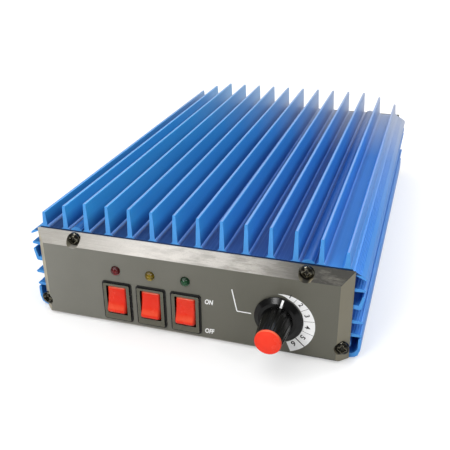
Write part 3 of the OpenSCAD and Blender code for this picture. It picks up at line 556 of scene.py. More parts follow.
@dataclass(frozen=True)
class Plated(Finish):
    """Bare or plated metal, with turning marks and a little tarnish."""

    colour: Code
    tarnish: Code
    roughness: float

    def build(self, sheet: NodeSheet) -> None:
        """Adds fine marks, tarnish and bright edges.

        Args:
            sheet: The sheet to fill.
        """
        marks = sheet.noise((900.0, 3800.0, 900.0), 3.0)
        cloud = sheet.noise(130.0, 5.0, 0.65)
        bright = tuple(min(1.0, c * 1.25) for c in linear(self.colour))
        colour = sheet.lay(self.colour, self.tarnish, sheet.span(cloud, 0.45, 0.8), strength=0.5)
        colour = sheet.lay(colour, bright, sheet.edge(0.2 * MM), strength=0.5)
        rough = sheet.span(cloud, 0.3, 0.8, self.roughness, self.roughness + 0.18)
        sheet.set(Base_Color=colour, Roughness=rough, Metallic=1.0)
        sheet.bump(marks, 0.12)


@dataclass(frozen=True)
class Blackened(Finish):
    """Blackened steel, glossy, with its edges worn to bright metal and a painted highlight round its rims.
    """

    colour: Code = "2E2D29"
    thick: Code = "0C0C0B"
    rubbed: Code = "CFC8AE"

    def build(self, sheet: NodeSheet) -> None:
        """Adds an uneven blacking, thin along the edges, where bright worn metal and a painted highlight
        show.

        Args:
            sheet: The sheet to fill.
        """
        cloud = sheet.noise(420.0, 4.0, 0.65)
        marks = sheet.noise(2600.0, 3.0)
        patches = sheet.span(cloud, 0.32, 0.5, 0.25, 1.0)
        colour = sheet.lay(self.colour, self.thick, sheet.span(cloud, 0.45, 0.75), strength=0.6)
        # Worn bright metal and a painted highlight along the edges.
        colour = sheet.lay(colour, self.rubbed, sheet.edge(0.6 * MM), patches, strength=0.85)
        rough = sheet.span(cloud, 0.25, 0.8, 0.14, 0.3)
        sheet.set(Base_Color=colour, Roughness=rough, Metallic=0.9)
        sheet.bump(marks, 0.12)


@dataclass(frozen=True)
class Moulded(Finish):
    """Moulded plastic, with a faint skin texture and uneven gloss."""

    colour: Code
    light: Code
    roughness: float
    gloss: float = 0.0
    shine: float = 0.5
    skin: float = 0.08

    def build(self, sheet: NodeSheet) -> None:
        """Adds a skin texture, uneven gloss and slightly paler edges.

        Args:
            sheet: The sheet to fill.
        """
        cloud = sheet.noise(90.0)
        skin = sheet.noise(2600.0, 3.0)
        colour = sheet.lay(self.colour, self.light, sheet.span(cloud, 0.35, 0.8), strength=0.22)
        colour = sheet.lay(colour, self.light, sheet.edge(0.3 * MM), strength=0.3)
        rough = sheet.span(cloud, 0.2, 0.8, self.roughness - 0.05, self.roughness + 0.1)
        sheet.set(Base_Color=colour, Roughness=rough, Specular_IOR_Level=self.shine)
        sheet.set(Coat_Weight=self.gloss, Coat_Roughness=0.1)
        sheet.bump(skin, self.skin)


@dataclass(frozen=True)
class Paddle(Finish):
    """A glossy red moulding with painted shade on its sides and where it faces down, and a painted
    highlight, paler, where it leans back and faces up.
    """

    colour: Code = "E22404"
    light: Code = "F87C54"
    dark: Code = "9C1A06"
    rise: Range = (0.3, 0.5)
    side: Range = (0.2, 0.85)
    roughness: float = 0.24

    def build(self, sheet: NodeSheet) -> None:
        """Paints shade and highlight on the moulding by the way its surface faces, with a faint skin
        texture.

        Args:
            sheet: The sheet to fill.
        """
        cloud = sheet.noise(90.0)
        skin = sheet.noise(2600.0, 3.0)
        up = sheet.axis(Axis.Z, "Normal")
        across = sheet.math("ABSOLUTE", sheet.axis(Axis.X, "Normal"))
        # Painted shade: darker where the surface faces sideways.
        colour = sheet.lay(self.colour, self.dark, sheet.span(across, *self.side), strength=0.6)
        # Painted highlight: paler where the surface faces up.
        colour = sheet.lay(colour, self.light, sheet.span(up, *self.rise), strength=0.5)
        # Painted shade: darker where the surface faces down.
        colour = sheet.lay(colour, self.dark, sheet.span(up, -0.3, -0.9), strength=0.7)
        colour = sheet.lay(colour, self.light, sheet.span(cloud, 0.4, 0.8), strength=0.12)
        rough = sheet.span(cloud, 0.2, 0.8, self.roughness - 0.04, self.roughness + 0.08)
        sheet.set(Base_Color=colour, Roughness=rough, Specular_IOR_Level=0.34)
        sheet.bump(skin, 0.03)


@dataclass(frozen=True)
class Grained(Finish):
    """A matt body: rubber, ceramic, ferrite, board resin or paint."""

    colour: Code
    fleck: Code
    roughness: float
    grain: float
    depth: float

    def build(self, sheet: NodeSheet) -> None:
        """Adds flecks and a grain.

        Args:
            sheet: The sheet to fill.
        """
        grain = sheet.noise(self.grain, 4.0, 0.6)
        cloud = sheet.noise(60.0, 3.0)
        colour = sheet.lay(self.colour, self.fleck, sheet.span(grain, 0.5, 0.8), strength=0.5)
        colour = sheet.lay(colour, self.fleck, sheet.span(cloud, 0.4, 0.8), strength=0.2)
        rough = sheet.span(grain, 0.2, 0.8, self.roughness - 0.1, self.roughness + 0.1)
        sheet.set(Base_Color=colour, Roughness=rough)
        sheet.bump(grain, self.depth, 0.00008)


@dataclass(frozen=True)
class SwitchFrame(Finish):
    """A black switch housing whose front face has a painted reflection that shines like the panel round
    it.
    """

    face_y: float = -130.1 * MM
    face: Code = "605F52"
    cloudy: Code = "4E4E42"
    edges: Code = "A3A294"
    body: Code = "0C0C0C"

    def build(self, sheet: NodeSheet) -> None:
        """Makes the front face a pale glossy painted reflection with painted highlights on its edges, and
        the rest black.

        Args:
            sheet: The sheet to fill.
        """
        turned = sheet.span(sheet.axis(Axis.Y, "Normal"), -0.9, -0.97)
        ahead = sheet.math("LESS_THAN", sheet.axis(Axis.Y), self.face_y)
        cloud = sheet.noise(110.0)
        skin = sheet.noise(3000.0, 3.0)
        # The front face's olive grey is painted reflection on the black moulding.
        face = sheet.lay(self.face, self.cloudy, sheet.span(cloud, 0.3, 0.8), strength=0.3)
        # Painted highlight along the face's edges.
        face = sheet.lay(face, self.edges, sheet.edge(0.3 * MM), strength=0.5)
        colour = sheet.lay(self.body, face, turned, ahead)
        rough = sheet.span(cloud, 0.2, 0.8, 0.2, 0.32)
        sheet.set(Base_Color=colour, Roughness=rough, Specular_IOR_Level=0.35)
        sheet.bump(skin, 0.05)


@dataclass(frozen=True)
class Lens(Finish):
    """The tinted clear resin of a lamp."""

    tint: Code
    dark: Code
    glow: Code

    def build(self, sheet: NodeSheet) -> None:
        """Makes a tinted clear resin with painted shade towards its rim and over its upper half, and a
        painted glow at its lower edge.

        Args:
            sheet: The sheet to fill.
        """
        cloud = sheet.noise(500.0, 3.0)
        skin = sheet.noise(2000.0, 2.0)
        rim = sheet.add("ShaderNodeLayerWeight")
        rim.inputs["Blend"].default_value = 0.35
        rising = sheet.axis(Axis.Z, "Normal")
        lower = sheet.span(rising, -0.2, -0.75)
        # Painted shade: darker towards the rim, by how the surface faces the view.
        colour = sheet.lay(self.tint, self.dark, rim.outputs["Facing"])
        colour = sheet.lay(colour, self.dark, sheet.span(cloud, 0.4, 0.8), strength=0.2)
        # Painted shade over the upper half.
        colour = sheet.lay(colour, self.dark, sheet.span(rising, 0.1, 0.5), strength=0.6)
        # Painted glow at the lower edge, where no lamp is.
        colour = sheet.lay(colour, self.glow, lower)
        clear = sheet.math("MULTIPLY_ADD", lower, -0.4, 0.75)
        rough = sheet.span(skin, 0.2, 0.8, 0.02, 0.07)
        sheet.set(Base_Color=colour, Roughness=rough, Transmission_Weight=clear, IOR=1.5)
        sheet.bump(skin, 0.02, 0.00002)


@dataclass(frozen=True)
class Laminate(Finish):
    """A circuit board: green resist over copper runs."""

    resist: Code = "1E5A34"
    run: Code = "3A8A55"
    solder: Code = "B9B9B0"

    def cells(self, sheet: NodeSheet, scale: float, **settings: object) -> bpy.types.Node:
        """A flat cell pattern over the board.

        Args:
            sheet: The sheet to fill.
            scale: Cells per metre.
            settings: Properties of the pattern.

        Returns:
            The pattern's node.
        """
        node = sheet.add("ShaderNodeTexVoronoi", voronoi_dimensions="2D", **settings)
        node.inputs["Scale"].default_value = scale
        sheet.feed(node.inputs["Vector"], sheet.place.outputs["Object"])
        return node

    def build(self, sheet: NodeSheet) -> None:
        """Draws raised runs and soldered pads by cell patterns.

        Args:
            sheet: The sheet to fill.
        """
        borders = self.cells(sheet, 95.0, feature="DISTANCE_TO_EDGE")
        borders.inputs["Randomness"].default_value = 0.75
        runs = sheet.span(borders.outputs["Distance"], 0.1, 0.14)
        dots = sheet.span(self.cells(sheet, 190.0).outputs["Distance"], 0.2, 0.16)
        colour = sheet.lay(sheet.lay(self.resist, self.run, runs), self.solder, dots)
        rough = sheet.span(sheet.noise(300.0), 0.2, 0.8, 0.3, 0.45)
        sheet.set(Base_Color=colour, Roughness=rough)
        sheet.bump(sheet.math("ADD", runs, dots), 0.3, 0.00005)


@dataclass(frozen=True)
class FuseBody(Finish):
    """A glass fuse: plated end caps and a clear tube between them."""

    middle_y: float = 106.7 * MM
    glass_half: float = 9.5 * MM
    glass: Code = "D5DEDC"
    plating: Code = "D0CFC8"
    tarnish: Code = "96938A"
    clearness: float = 0.85

    def build(self, sheet: NodeSheet) -> None:
        """Tells the tube from the caps by how far they are from its middle.

        Args:
            sheet: The sheet to fill.
        """
        away = sheet.math("ABSOLUTE", sheet.math("SUBTRACT", sheet.axis(Axis.Y), self.middle_y))
        cap = sheet.math("GREATER_THAN", away, self.glass_half)
        cloud = sheet.noise(260.0)
        metal = sheet.lay(self.plating, self.tarnish, sheet.span(cloud, 0.4, 0.8))
        colour = sheet.lay(self.glass, metal, cap)
        clear = sheet.math("MULTIPLY_ADD", cap, -self.clearness, self.clearness)
        rough = sheet.span(cloud, 0.2, 0.8, 0.1, 0.24)
        sheet.set(Base_Color=colour, Metallic=cap, Roughness=rough, Transmission_Weight=clear)
        sheet.bump(cloud, 0.05)


class Finishes:
    """The amplifier's finishes, one for each kind of surface."""

    BLUE = Anodised("blue_anodised_extrusion")
    PANEL = PrintedPanel("printed_front_panel")
    REAR = Coated("rear_panel_coat", "55564A", "A5A59C", 0.4, 0.4)
    COVER = Coated("bottom_cover_coat", "2A2A2B", "8C8C88", 0.3, 0.45)
    BLACK_SCREW = Blackened("blackened_screw")
    ZINC = Plated("zinc_plated_steel", "B8B7AE", "8B877A", 0.34)
    NICKEL = Plated("bright_nickel", "D2CFC6", "9C968A", 0.16)
    BRASS = Plated("turned_brass", "C9A34E", "8B6A34", 0.3)
    TINNED = Plated("tinned_blade", "C4BEA8", "8F876F", 0.3)
    GOLD = Plated("gilt_contact", "E0BC62", "A98643", 0.2)
    COPPER = Plated("bare_copper", "C97B52", "7E4A33", 0.3)
    SWITCH = SwitchFrame("switch_frame")
    RED = Paddle("red_moulding")
    CAP = Paddle("cap_moulding", "F83010", rise=(0.15, 0.6), side=(0.1, 0.6))
    KNOB = Moulded("knob_moulding", "060606", "141414", 0.2, shine=0.28, skin=0.02)
    BLACK = Moulded("black_moulding", "141414", "303030", 0.34, gloss=0.1)
    IVORY = Moulded("ivory_insulator", "E4DCC4", "F4EEDD", 0.4)
    PHENOLIC = Moulded("phenolic_wafer", "6B4526", "8F623B", 0.45)
    RELAY = Moulded("relay_cover", "204E96", "4272BC", 0.3, gloss=0.2)
    SLEEVE = Moulded("capacitor_sleeve", "1C2350", "3C478A", 0.25, gloss=0.3)
    WHITE = Grained("white_print", "FAFAFA", "E4E4E0", 0.5, 2400.0, 0.08)
    INK = Grained("black_print", "141412", "34342E", 0.45, 2400.0, 0.08)
    RUBBER = Grained("black_rubber", "1A1A1A", "333333", 0.75, 1500.0, 0.25)
    CERAMIC = Grained("white_ceramic", "E6E4DC", "CFCBBF", 0.6, 1800.0, 0.15)
    FERRITE = Grained("grey_ferrite", "35363A", "55565C", 0.6, 1200.0, 0.3)
    CORE = Grained("red_core", "8E2A1C", "B04A30", 0.5, 1500.0, 0.2)
    BOARD = Laminate("circuit_board")
    FUSE = FuseBody("glass_fuse")
    RED_LENS = Lens("red_lens", "A81420", "4A0A10", "C8505C")
    YELLOW_LENS = Lens("yellow_lens", "D4B40A", "6E5A04", "E8D048")
    GREEN_LENS = Lens("green_lens", "107A42", "04280F", "46A070")


def put(name: str, data: bpy.types.ID) -> bpy.types.Object:
    """Makes an object and links it to the scene.

    Args:
        name: The object's name.
        data: Its mesh, lamp or camera.

    Returns:
        The new object.
    """
    made = bpy.data.objects.new(name, data)
    bpy.context.scene.collection.objects.link(made)
    return made


def as_mesh(name: str, shape: Shape) -> bpy.types.Mesh:
    """Makes a mesh of a shape and frees the shape.

    Args:
        name: The mesh's name.
        shape: The shape.

    Returns:
        The new mesh.
    """
    mesh = bpy.data.meshes.new(name)
    shape.to_mesh(mesh)
    shape.free()
    return mesh


def piece(
    name: str,
    shape: Shape,
    finish: Finish,
    body: str = CHASSIS,
    stands_for: Iterable[str] = (),
    smooth_below: float = 35.0,
) -> None:
    """Turns a shape in millimetres into a piece that rides on a body.

    Args:
        name: The piece's name.
        shape: Its shape, in millimetres in the object's frame; it is freed.
        finish: Its finish.
        body: The CAD body that it rides on.
        stands_for: CAD nodes that it replaces.
        smooth_below: Edges sharper than this angle stay sharp, in degrees.
    """
    bmesh.ops.remove_doubles(shape, verts=shape.verts, dist=MERGE_BELOW)
    bmesh.ops.recalc_face_normals(shape, faces=shape.faces)
    bmesh.ops.scale(shape, vec=(MM, MM, MM), verts=shape.verts)
    mesh = as_mesh(name, shape)
    mesh.polygons.foreach_set("use_smooth", [True] * len(mesh.polygons))
    mesh.set_sharp_from_angle(angle=math.radians(smooth_below))
    mesh.materials.append(finish.material())
    made = put(name, mesh)
    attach(made, body)
    for node in stands_for:
        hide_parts(node)
    LOG.info("%s: %d faces on %s", name, len(mesh.polygons), body)


def copied(node: str) -> Shape:
    """A copy of a CAD node's shape, merged.

    Args:
        node: The node's name.

    Returns:
        The shape, in millimetres in the object's frame.
    """
    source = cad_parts[node]
    shape = bmesh.new()
    shape.from_mesh(source.data)
    bmesh.ops.transform(shape, matrix=Matrix.Scale(1 / MM, 4) @ source.matrix_world, verts=shape.verts)
    bmesh.ops.remove_doubles(shape, verts=shape.verts, dist=MERGE_BELOW)
    return shape


def move(shape: Shape, offset: Iterable[float]) -> None:
    """Moves a whole shape."""
    bmesh.ops.translate(shape, vec=offset, verts=shape.verts)


def turn(shape: Shape, degrees: float, axis: Axis) -> None:
    """Turns a whole shape about an axis through the origin."""
    bmesh.ops.rotate(shape, matrix=Matrix.Rotation(math.radians(degrees), 3, axis.name), verts=shape.verts)


def draw_out(shape: Shape, offset: Point) -> None:
    """Draws a flat shape's faces out into a closed block.

    Args:
        shape: The flat shape.
        offset: How far its far side is moved.
    """
    made = bmesh.ops.extrude_face_region(shape, geom=list(shape.faces))
    moved = [g for g in made["geom"] if isinstance(g, bmesh.types.BMVert)]
    bmesh.ops.translate(shape, vec=offset, verts=moved)


def spun(outline: Iterable[Spot], steps: int) -> Shape:
    """Spins a half outline round the Y axis.

    Args:
        outline: Each point's distance from the axis and its Y.
        steps: How many flats the round has.

    Returns:
        The round shape.
    """
    shape = bmesh.new()
    verts = [shape.verts.new((radius, y, 0.0)) for radius, y in outline]
    edges = [shape.edges.new(pair) for pair in zip(verts, verts[1:])]
    once = {"axis": (0, 1, 0), "angle": math.tau, "steps": steps, "use_merge": True}
    bmesh.ops.spin(shape, geom=verts + edges, cent=(0, 0, 0), **once)
    return shape


def cut_across(shape: Shape, y: float, drop_behind: bool = False) -> None:
    """Cuts a shape by a plane across the Y axis.

    Args:
        shape: The shape.
        y: The plane's place.
        drop_behind: Whether what lies behind the plane is taken away.
    """
    everything = [*shape.verts, *shape.edges, *shape.faces]
    plane = {"plane_co": (0, y, 0), "plane_no": (0, 1, 0)}
    bmesh.ops.bisect_plane(shape, geom=everything, clear_outer=drop_behind, **plane)


@dataclass
class Lettering:
    """Printed characters and how they are set."""

    size: float
    finish: Finish
    slot: str
    slant: float = 0.0
    weight: float = 0.0
    stretch: float = 1.0
    size_per_height: float = 1.4
    curve_steps: int = 6

    def shape(self, name: str, text: str, clockwise: float) -> Shape:
        """The characters as a mesh shape that stands up, centred on the origin.

        Args:
            name: A name for the text while it is made.
            text: The characters.
            clockwise: Their turn, in degrees.

        Returns:
            The shape, facing -Y.
        """
        curve = bpy.data.curves.new(name, "FONT")
        curve.body = text
        curve.align_x = "CENTER"
        curve.align_y = "CENTER"
        curve.size = self.size * self.size_per_height
        curve.shear = self.slant
        curve.offset = self.weight
        curve.extrude = INK_THICKNESS / 2
        curve.resolution_u = self.curve_steps
        holder = bpy.data.objects.new(name, curve)
        mesh = bpy.data.meshes.new_from_object(holder)
        shape = bmesh.new()
        shape.from_mesh(mesh)
        bpy.data.objects.remove(holder)
        bpy.data.curves.remove(curve)
        bpy.data.meshes.remove(mesh)
        ends = [[pick(v.co[i] for v in shape.verts) for i in range(3)] for pick in (min, max)]
        move(shape, -(Vector(ends[0]) + Vector(ends[1])) / 2)
        bmesh.ops.scale(shape, vec=(self.stretch, 1.0, 1.0), verts=shape.verts)
        turn(shape, -clockwise, Axis.Z)
        turn(shape, 90, Axis.X)
        return shape


@dataclass
class PanelPrint:
    """The marks printed on the front panel's face: arc scale, numbers, lines and words."""

    face_y: float = -128.9
    lift: float = 0.02
    inner_centre: Spot = (46.0, 19.4)
    inner_radius: float = 12.8
    outer_centre: Spot = (48.6, 17.7)
    outer_radius: float = 15.7
    arc_start: float = 2.0
    arc_end: float = 157.0
    arc_steps: int = 72
    taper_angle: float = 24.0
    tip_share: float = 0.08
    tip_place: float = 0.8
    ring_centre: Spot = (47.2, 19.0)
    ring_radius: float = 11.6
    ring_hole: float = 0.6
    ring_steps: int = 96
    number_radius: float = 14.7
    number_drift: float = 0.25
    number_start: float = 25.0
    number_step: float = 24.0
    number_count: int = 6
    number_size: float = 2.088
    number_growth: float = 0.145
    number_weight: float = 0.04
    weight_growth: float = 0.008
    divider_width: float = 0.16
    last_divider_width: float = 0.45
    divider_gap: float = 0.1
    leader: tuple[Spot, ...] = ((24.3, 31.7), (26.8, 20.2), (33.7, 20.1))
    leader_width: float = 0.55
    words: tuple[tuple[str, Spot], ...] = (("ON", (12.9, 22.6)), ("OFF", (13.0, 6.0)))
    word_size: float = 2.6

    def outer_reach(self, degrees: float) -> float:
        """How far the outer circle is from the inner circle's centre.

        Args:
            degrees: The direction, clockwise from straight up.

        Returns:
            The distance.
        """
        way = Vector((math.sin(math.radians(degrees)), math.cos(math.radians(degrees))))
        off = Vector(self.outer_centre) - Vector(self.inner_centre)
        along = off.dot(way)
        return along + math.sqrt(along**2 - off.length_squared + self.outer_radius**2)

    def polar(self, centre: Spot, degrees: float, radius: float) -> Spot:
        """The X and Z at a distance from a centre, in a direction clockwise from straight up."""
        angle = math.radians(degrees)
        return centre[0] + radius * math.sin(angle), centre[1] + radius * math.cos(angle)

    def flat_strip(self, columns: int, place: Callable[[float, float], Spot]) -> Shape:
        """A strip of faces laid on the panel by a rule.

        Args:
            columns: How many faces long it is.
            place: Gives X and Z from the share along and the share across.

        Returns:
            The shape, already thick.
        """
        shape = bmesh.new()
        bmesh.ops.create_grid(shape, x_segments=columns, y_segments=1, size=0.5)
        for vert in shape.verts:
            x, z = place(vert.co.x + 0.5, vert.co.y + 0.5)
            vert.co = Vector((x, self.face_y - self.lift, z))
        draw_out(shape, (0.0, -INK_THICKNESS, 0.0))
        return shape

    def bar(self, start: Spot, end: Spot, width: float) -> Shape:
        """A straight line of ink.

        Args:
            start: Its first end.
            end: Its other end.
            width: Its width.

        Returns:
            The shape.
        """
        a, b = Vector(start), Vector(end)
        side = (b - a).normalized().orthogonal() * width / 2

        def place(along: float, across: float) -> Spot:
            """Puts a point on the line."""
            spot = a.lerp(b, along) + side * (2 * across - 1)
            return spot.x, spot.y

        return self.flat_strip(1, place)

    def crescent(self) -> None:
        """The white arc that carries the numbers."""

        def place(along: float, across: float) -> Spot:
            """Puts a point between the two circles, nearer together at the arc's tip."""
            degrees = self.arc_start + (self.arc_end - self.arc_start) * along
            width = self.outer_reach(degrees) - self.inner_radius
            taper = min(1.0, self.tip_share + (degrees - self.arc_start) / self.taper_angle)
            share = across * taper + (1 - taper) * self.tip_place
            return self.polar(self.inner_centre, degrees, self.inner_radius + width * share)

        piece("scale_arc", self.flat_strip(self.arc_steps, place), Finishes.WHITE)

    def ring(self) -> None:
        """The black disc printed under the knob, which also stands for the knob's painted shadow on the
        panel.
        """

        def place(along: float, across: float) -> Spot:
            """Puts a point on the ring."""
            reach = self.ring_radius * (self.ring_hole + (1 - self.ring_hole) * across)
            return self.polar(self.ring_centre, 360 * along, reach)

        piece("scale_ring", self.flat_strip(self.ring_steps, place), Finishes.INK)

    def dividers(self) -> None:
        """The short lines between the numbers, the last one thicker."""
        for index in range(1, self.number_count):
            degrees = self.number_start + self.number_step * (index - 0.5)
            last = index == self.number_count - 1
            reach = self.outer_reach(degrees) - self.divider_gap
            inner = self.polar(self.inner_centre, degrees, self.inner_radius + self.divider_gap)
            outer = self.polar(self.inner_centre, degrees, reach)
            shape = self.bar(inner, outer, self.last_divider_width if last else self.divider_width)
            move(shape, (0.0, -INK_THICKNESS, 0.0))
            piece(f"scale_divider_{index}", shape, Finishes.INK)

    def letter(
        self, name: str, text: str, at: Spot, style: Lettering, clockwise: float = 0.0, layers: int = 0
    ) -> None:
        """Prints characters on the face.

        Args:
            name: The piece's name.
            text: The characters.
            at: The X and Z of their middle.
            style: How they are set.
            clockwise: Their turn, in degrees.
            layers: How many layers of ink lie under them.
        """
        shape = style.shape(name, text, clockwise)
        front = self.face_y - self.lift - INK_THICKNESS * (layers + 0.5)
        move(shape, (at[0], front, at[1]))
        piece(name, shape, style.finish)

    def numbers(self) -> None:
        """The plain numbers along the arc, their tops turned outwards."""
        for index in range(self.number_count):
            degrees = self.number_start + self.number_step * index
            radius = self.number_radius + self.number_drift * math.sin(math.radians(degrees))
            at = self.polar(self.inner_centre, degrees, radius)
            size = self.number_size + self.number_growth * index
            weight = self.number_weight + self.weight_growth * index
            style = Lettering(size, Finishes.INK, "black_plastic", weight=weight)
            self.letter(f"scale_number_{index + 1}", str(index + 1), at, style, degrees, 1)

    def leader_line(self) -> None:
        """The bent line that points to the knob."""
        for index, (start, end) in enumerate(zip(self.leader, self.leader[1:])):
            shape = self.bar(start, end, self.leader_width)
            piece(f"leader_line_{index + 1}", shape, Finishes.WHITE)

    def switch_words(self) -> None:
        """ON and OFF beside the right-hand switch."""
        style = Lettering(self.word_size, Finishes.WHITE, "white_paint", 0.2, 0.11, 0.72)
        for text, at in self.words:
            self.letter(f"word_{text.lower()}", text, at, style)

    def build(self) -> None:
        """Makes every mark."""
        self.ring()
        self.crescent()
        self.dividers()
        self.numbers()
        self.leader_line()
        self.switch_words()


@dataclass
class Rocker:
    """A red rocker: a drum with a hollow front and soft edges, turned about its pivot."""

    side: str
    x: float
    y: float = -127.9
    z: float = 15.6
    width: float = 10.2
    radius: float = 7.7
    ridge_height: float = 6.8
    hollow: float = 1.3
    back: float = 3.2
    tilt: float = 12.0
    edge: float = 1.4
    edge_steps: int = 7
    segments: int = 72
    softening: int = 12
    corner: float = 1.5
    pin_radius: float = 0.9
    pin_length: float = 0.9
    pin_segments: int = 32

    @property
    def ridge(self) -> float:
        """How far the ridges stand ahead of the pivot."""
        return math.sqrt(self.radius**2 - self.ridge_height**2)

    def outline(self) -> Shape:
        """The rocker's side view, its front hollowed and its ridges softened.

        Returns:
            A flat shape in the YZ plane.
        """
        shape = bmesh.new()
        bmesh.ops.create_circle(shape, cap_ends=True, radius=self.radius, segments=self.segments)
        turn(shape, 90, Axis.Y)
        for vert in shape.verts:
            share = vert.co.z / self.ridge_height
            if abs(share) < 1 and vert.co.y < 0:
                vert.co.y = -self.ridge + self.hollow * (1 - share * share)
        cut_across(shape, self.back, drop_behind=True)
        everywhere = {"use_axis_x": True, "use_axis_y": True, "use_axis_z": True}
        for _ in range(self.softening):
            ahead = [v for v in shape.verts if v.co.y < 0]
            bmesh.ops.smooth_vert(shape, verts=ahead, factor=0.5, **everywhere)
        return shape

    def round_end(self, shape: Shape, face: bmesh.types.BMFace) -> None:
        """Rounds one side of the rocker over to a quarter circle.

        Args:
            shape: The rocker.
            face: The flat face on that side.
        """
        angles = [math.pi / 2 * step / self.edge_steps for step in range(self.edge_steps + 1)]
        for last, new in zip(angles, angles[1:]):
            bmesh.ops.inset_region(
                shape,
                faces=[face],
                thickness=self.edge * (math.cos(last) - math.cos(new)),
                depth=self.edge * (math.sin(new) - math.sin(last)),
                use_boundary=True,
                use_even_offset=True,
            )

    def round_corners(self, shape: Shape) -> None:
        """Pulls the front's four corners in to arcs, less and less towards the back.

        Args:
            shape: The rocker.
        """
        for vert in shape.verts:
            corner = self.corner * min(1.0, max(0.0, -vert.co.y / self.ridge))
            over = min(corner, abs(vert.co.z) - (self.ridge_height - corner))
            if over > 0:
                limit = self.width / 2 - corner + math.sqrt(corner**2 - over**2)
                vert.co.x = max(-limit, min(limit, vert.co.x))

    def build(self) -> None:
        """Draws the outline out to the rocker's width, rounds it and turns it."""
        shape = self.outline()
        straight = self.width - 2 * self.edge
        draw_out(shape, (straight, 0, 0))
        move(shape, (-straight / 2, 0, 0))
        bmesh.ops.recalc_face_normals(shape, faces=shape.faces)
        for face in [f for f in shape.faces if abs(f.normal.x) > 0.99]:
            self.round_end(shape, face)
        self.round_corners(shape)
        bmesh.ops.create_cone(
            shape,
            cap_ends=True,
            segments=self.pin_segments,
            radius1=self.pin_radius,
            radius2=self.pin_radius,
            depth=self.width + 2 * self.pin_length,
            matrix=Matrix.Rotation(math.radians(90), 4, "Y"),
        )
        turn(shape, -self.tilt, Axis.X)
        move(shape, (self.x, self.y, self.z))
        body = f"{self.side}_rocker"
        piece(f"{body}_paddle", shape, Finishes.RED, body, [body], 50.0)


@dataclass
class KnobCap:
    """The knob's red cap: a plug, a short rim and a domed crown."""

    x: float = 46.9
    z: float = 20.4
    plug_radius: float = 3.5
    plug_back: float = -146.75
    radius: float = 6.2
    seat: float = -148.6
    rim: float = -149.25
    crown: float = -150.4
    round_over: float = 0.45
    curve_steps: int = 10
    spin_steps: int = 96

    def outline(self) -> list[Spot]:
        """The cap's half outline, from the axis behind to the crown.

        Returns:
            Each point's distance from the axis and its Y.
        """
        points = [(0.0, self.plug_back), (self.plug_radius, self.plug_back)]
        points += [(self.plug_radius, self.seat), (self.radius, self.seat), (self.radius, self.rim)]
        shoulder = self.rim - self.round_over
        flat = self.radius - self.round_over
        shares = [step / self.curve_steps for step in range(1, self.curve_steps + 1)]
        for share in shares:
            angle = math.pi / 2 * share
            inset = self.round_over * (1 - math.cos(angle))
            points.append((self.radius - inset, self.rim - self.round_over * math.sin(angle)))
        for share in shares:
            rise = (self.crown - shoulder) * (1 - (1 - share) ** 2)
            points.append((flat * (1 - share), shoulder + rise))
        return points

    def build(self) -> None:
        """Spins the outline and sets the cap on the knob."""
        shape = spun(self.outline(), self.spin_steps)
        move(shape, (self.x, 0, self.z))
        piece("knob_domed_cap", shape, Finishes.CAP, "knob", ["knob_cap"], 60.0)


@dataclass
class LampInside:
    """What shows through a lamp's clear resin: a reflecting cup on a post, and a second post."""

    name: str
    x: float
    z: float = 32.1
    cup_rise: float = 0.35
    cup_radius: float = 1.0
    floor_radius: float = 0.6
    stem_radius: float = 0.25
    cup_wall: float = 0.3
    cup_y: float = -129.7
    floor_y: float = -129.0
    steps: int = 32
    post_width: float = 0.5
    post_tips: tuple[Spot, ...] = ((0.35, -128.8), (-0.762, -129.3))
    post_back: float = -123.5

    def cup(self) -> Shape:
        """The cup, spun from its wall's outline.

        Returns:
            The shape, facing -Y.
        """
        back = self.floor_y + self.cup_wall
        inside = [(self.stem_radius, self.floor_y), (self.floor_radius, self.floor_y)]
        outside = [(self.cup_radius, self.cup_y), (self.cup_radius, back), (self.stem_radius, back)]
        shape = spun(inside + outside, self.steps)
        bmesh.ops.holes_fill(shape, edges=[e for e in shape.edges if e.is_boundary], sides=0)
        return shape

    def build(self) -> None:
        """Makes the cup and the posts as one piece."""
        shape = self.cup()
        move(shape, (0, 0, self.cup_rise))
        for height, tip in self.post_tips:
            length = self.post_back - tip
            made = bmesh.ops.create_cube(shape, size=1.0)
            bmesh.ops.scale(shape, vec=(self.post_width, length, self.post_width), verts=made["verts"])
            bmesh.ops.translate(shape, vec=(0, tip + length / 2, height), verts=made["verts"])
        move(shape, (self.x, 0, self.z))
        piece(f"{self.name}_lamp_inside", shape, Finishes.TINNED)


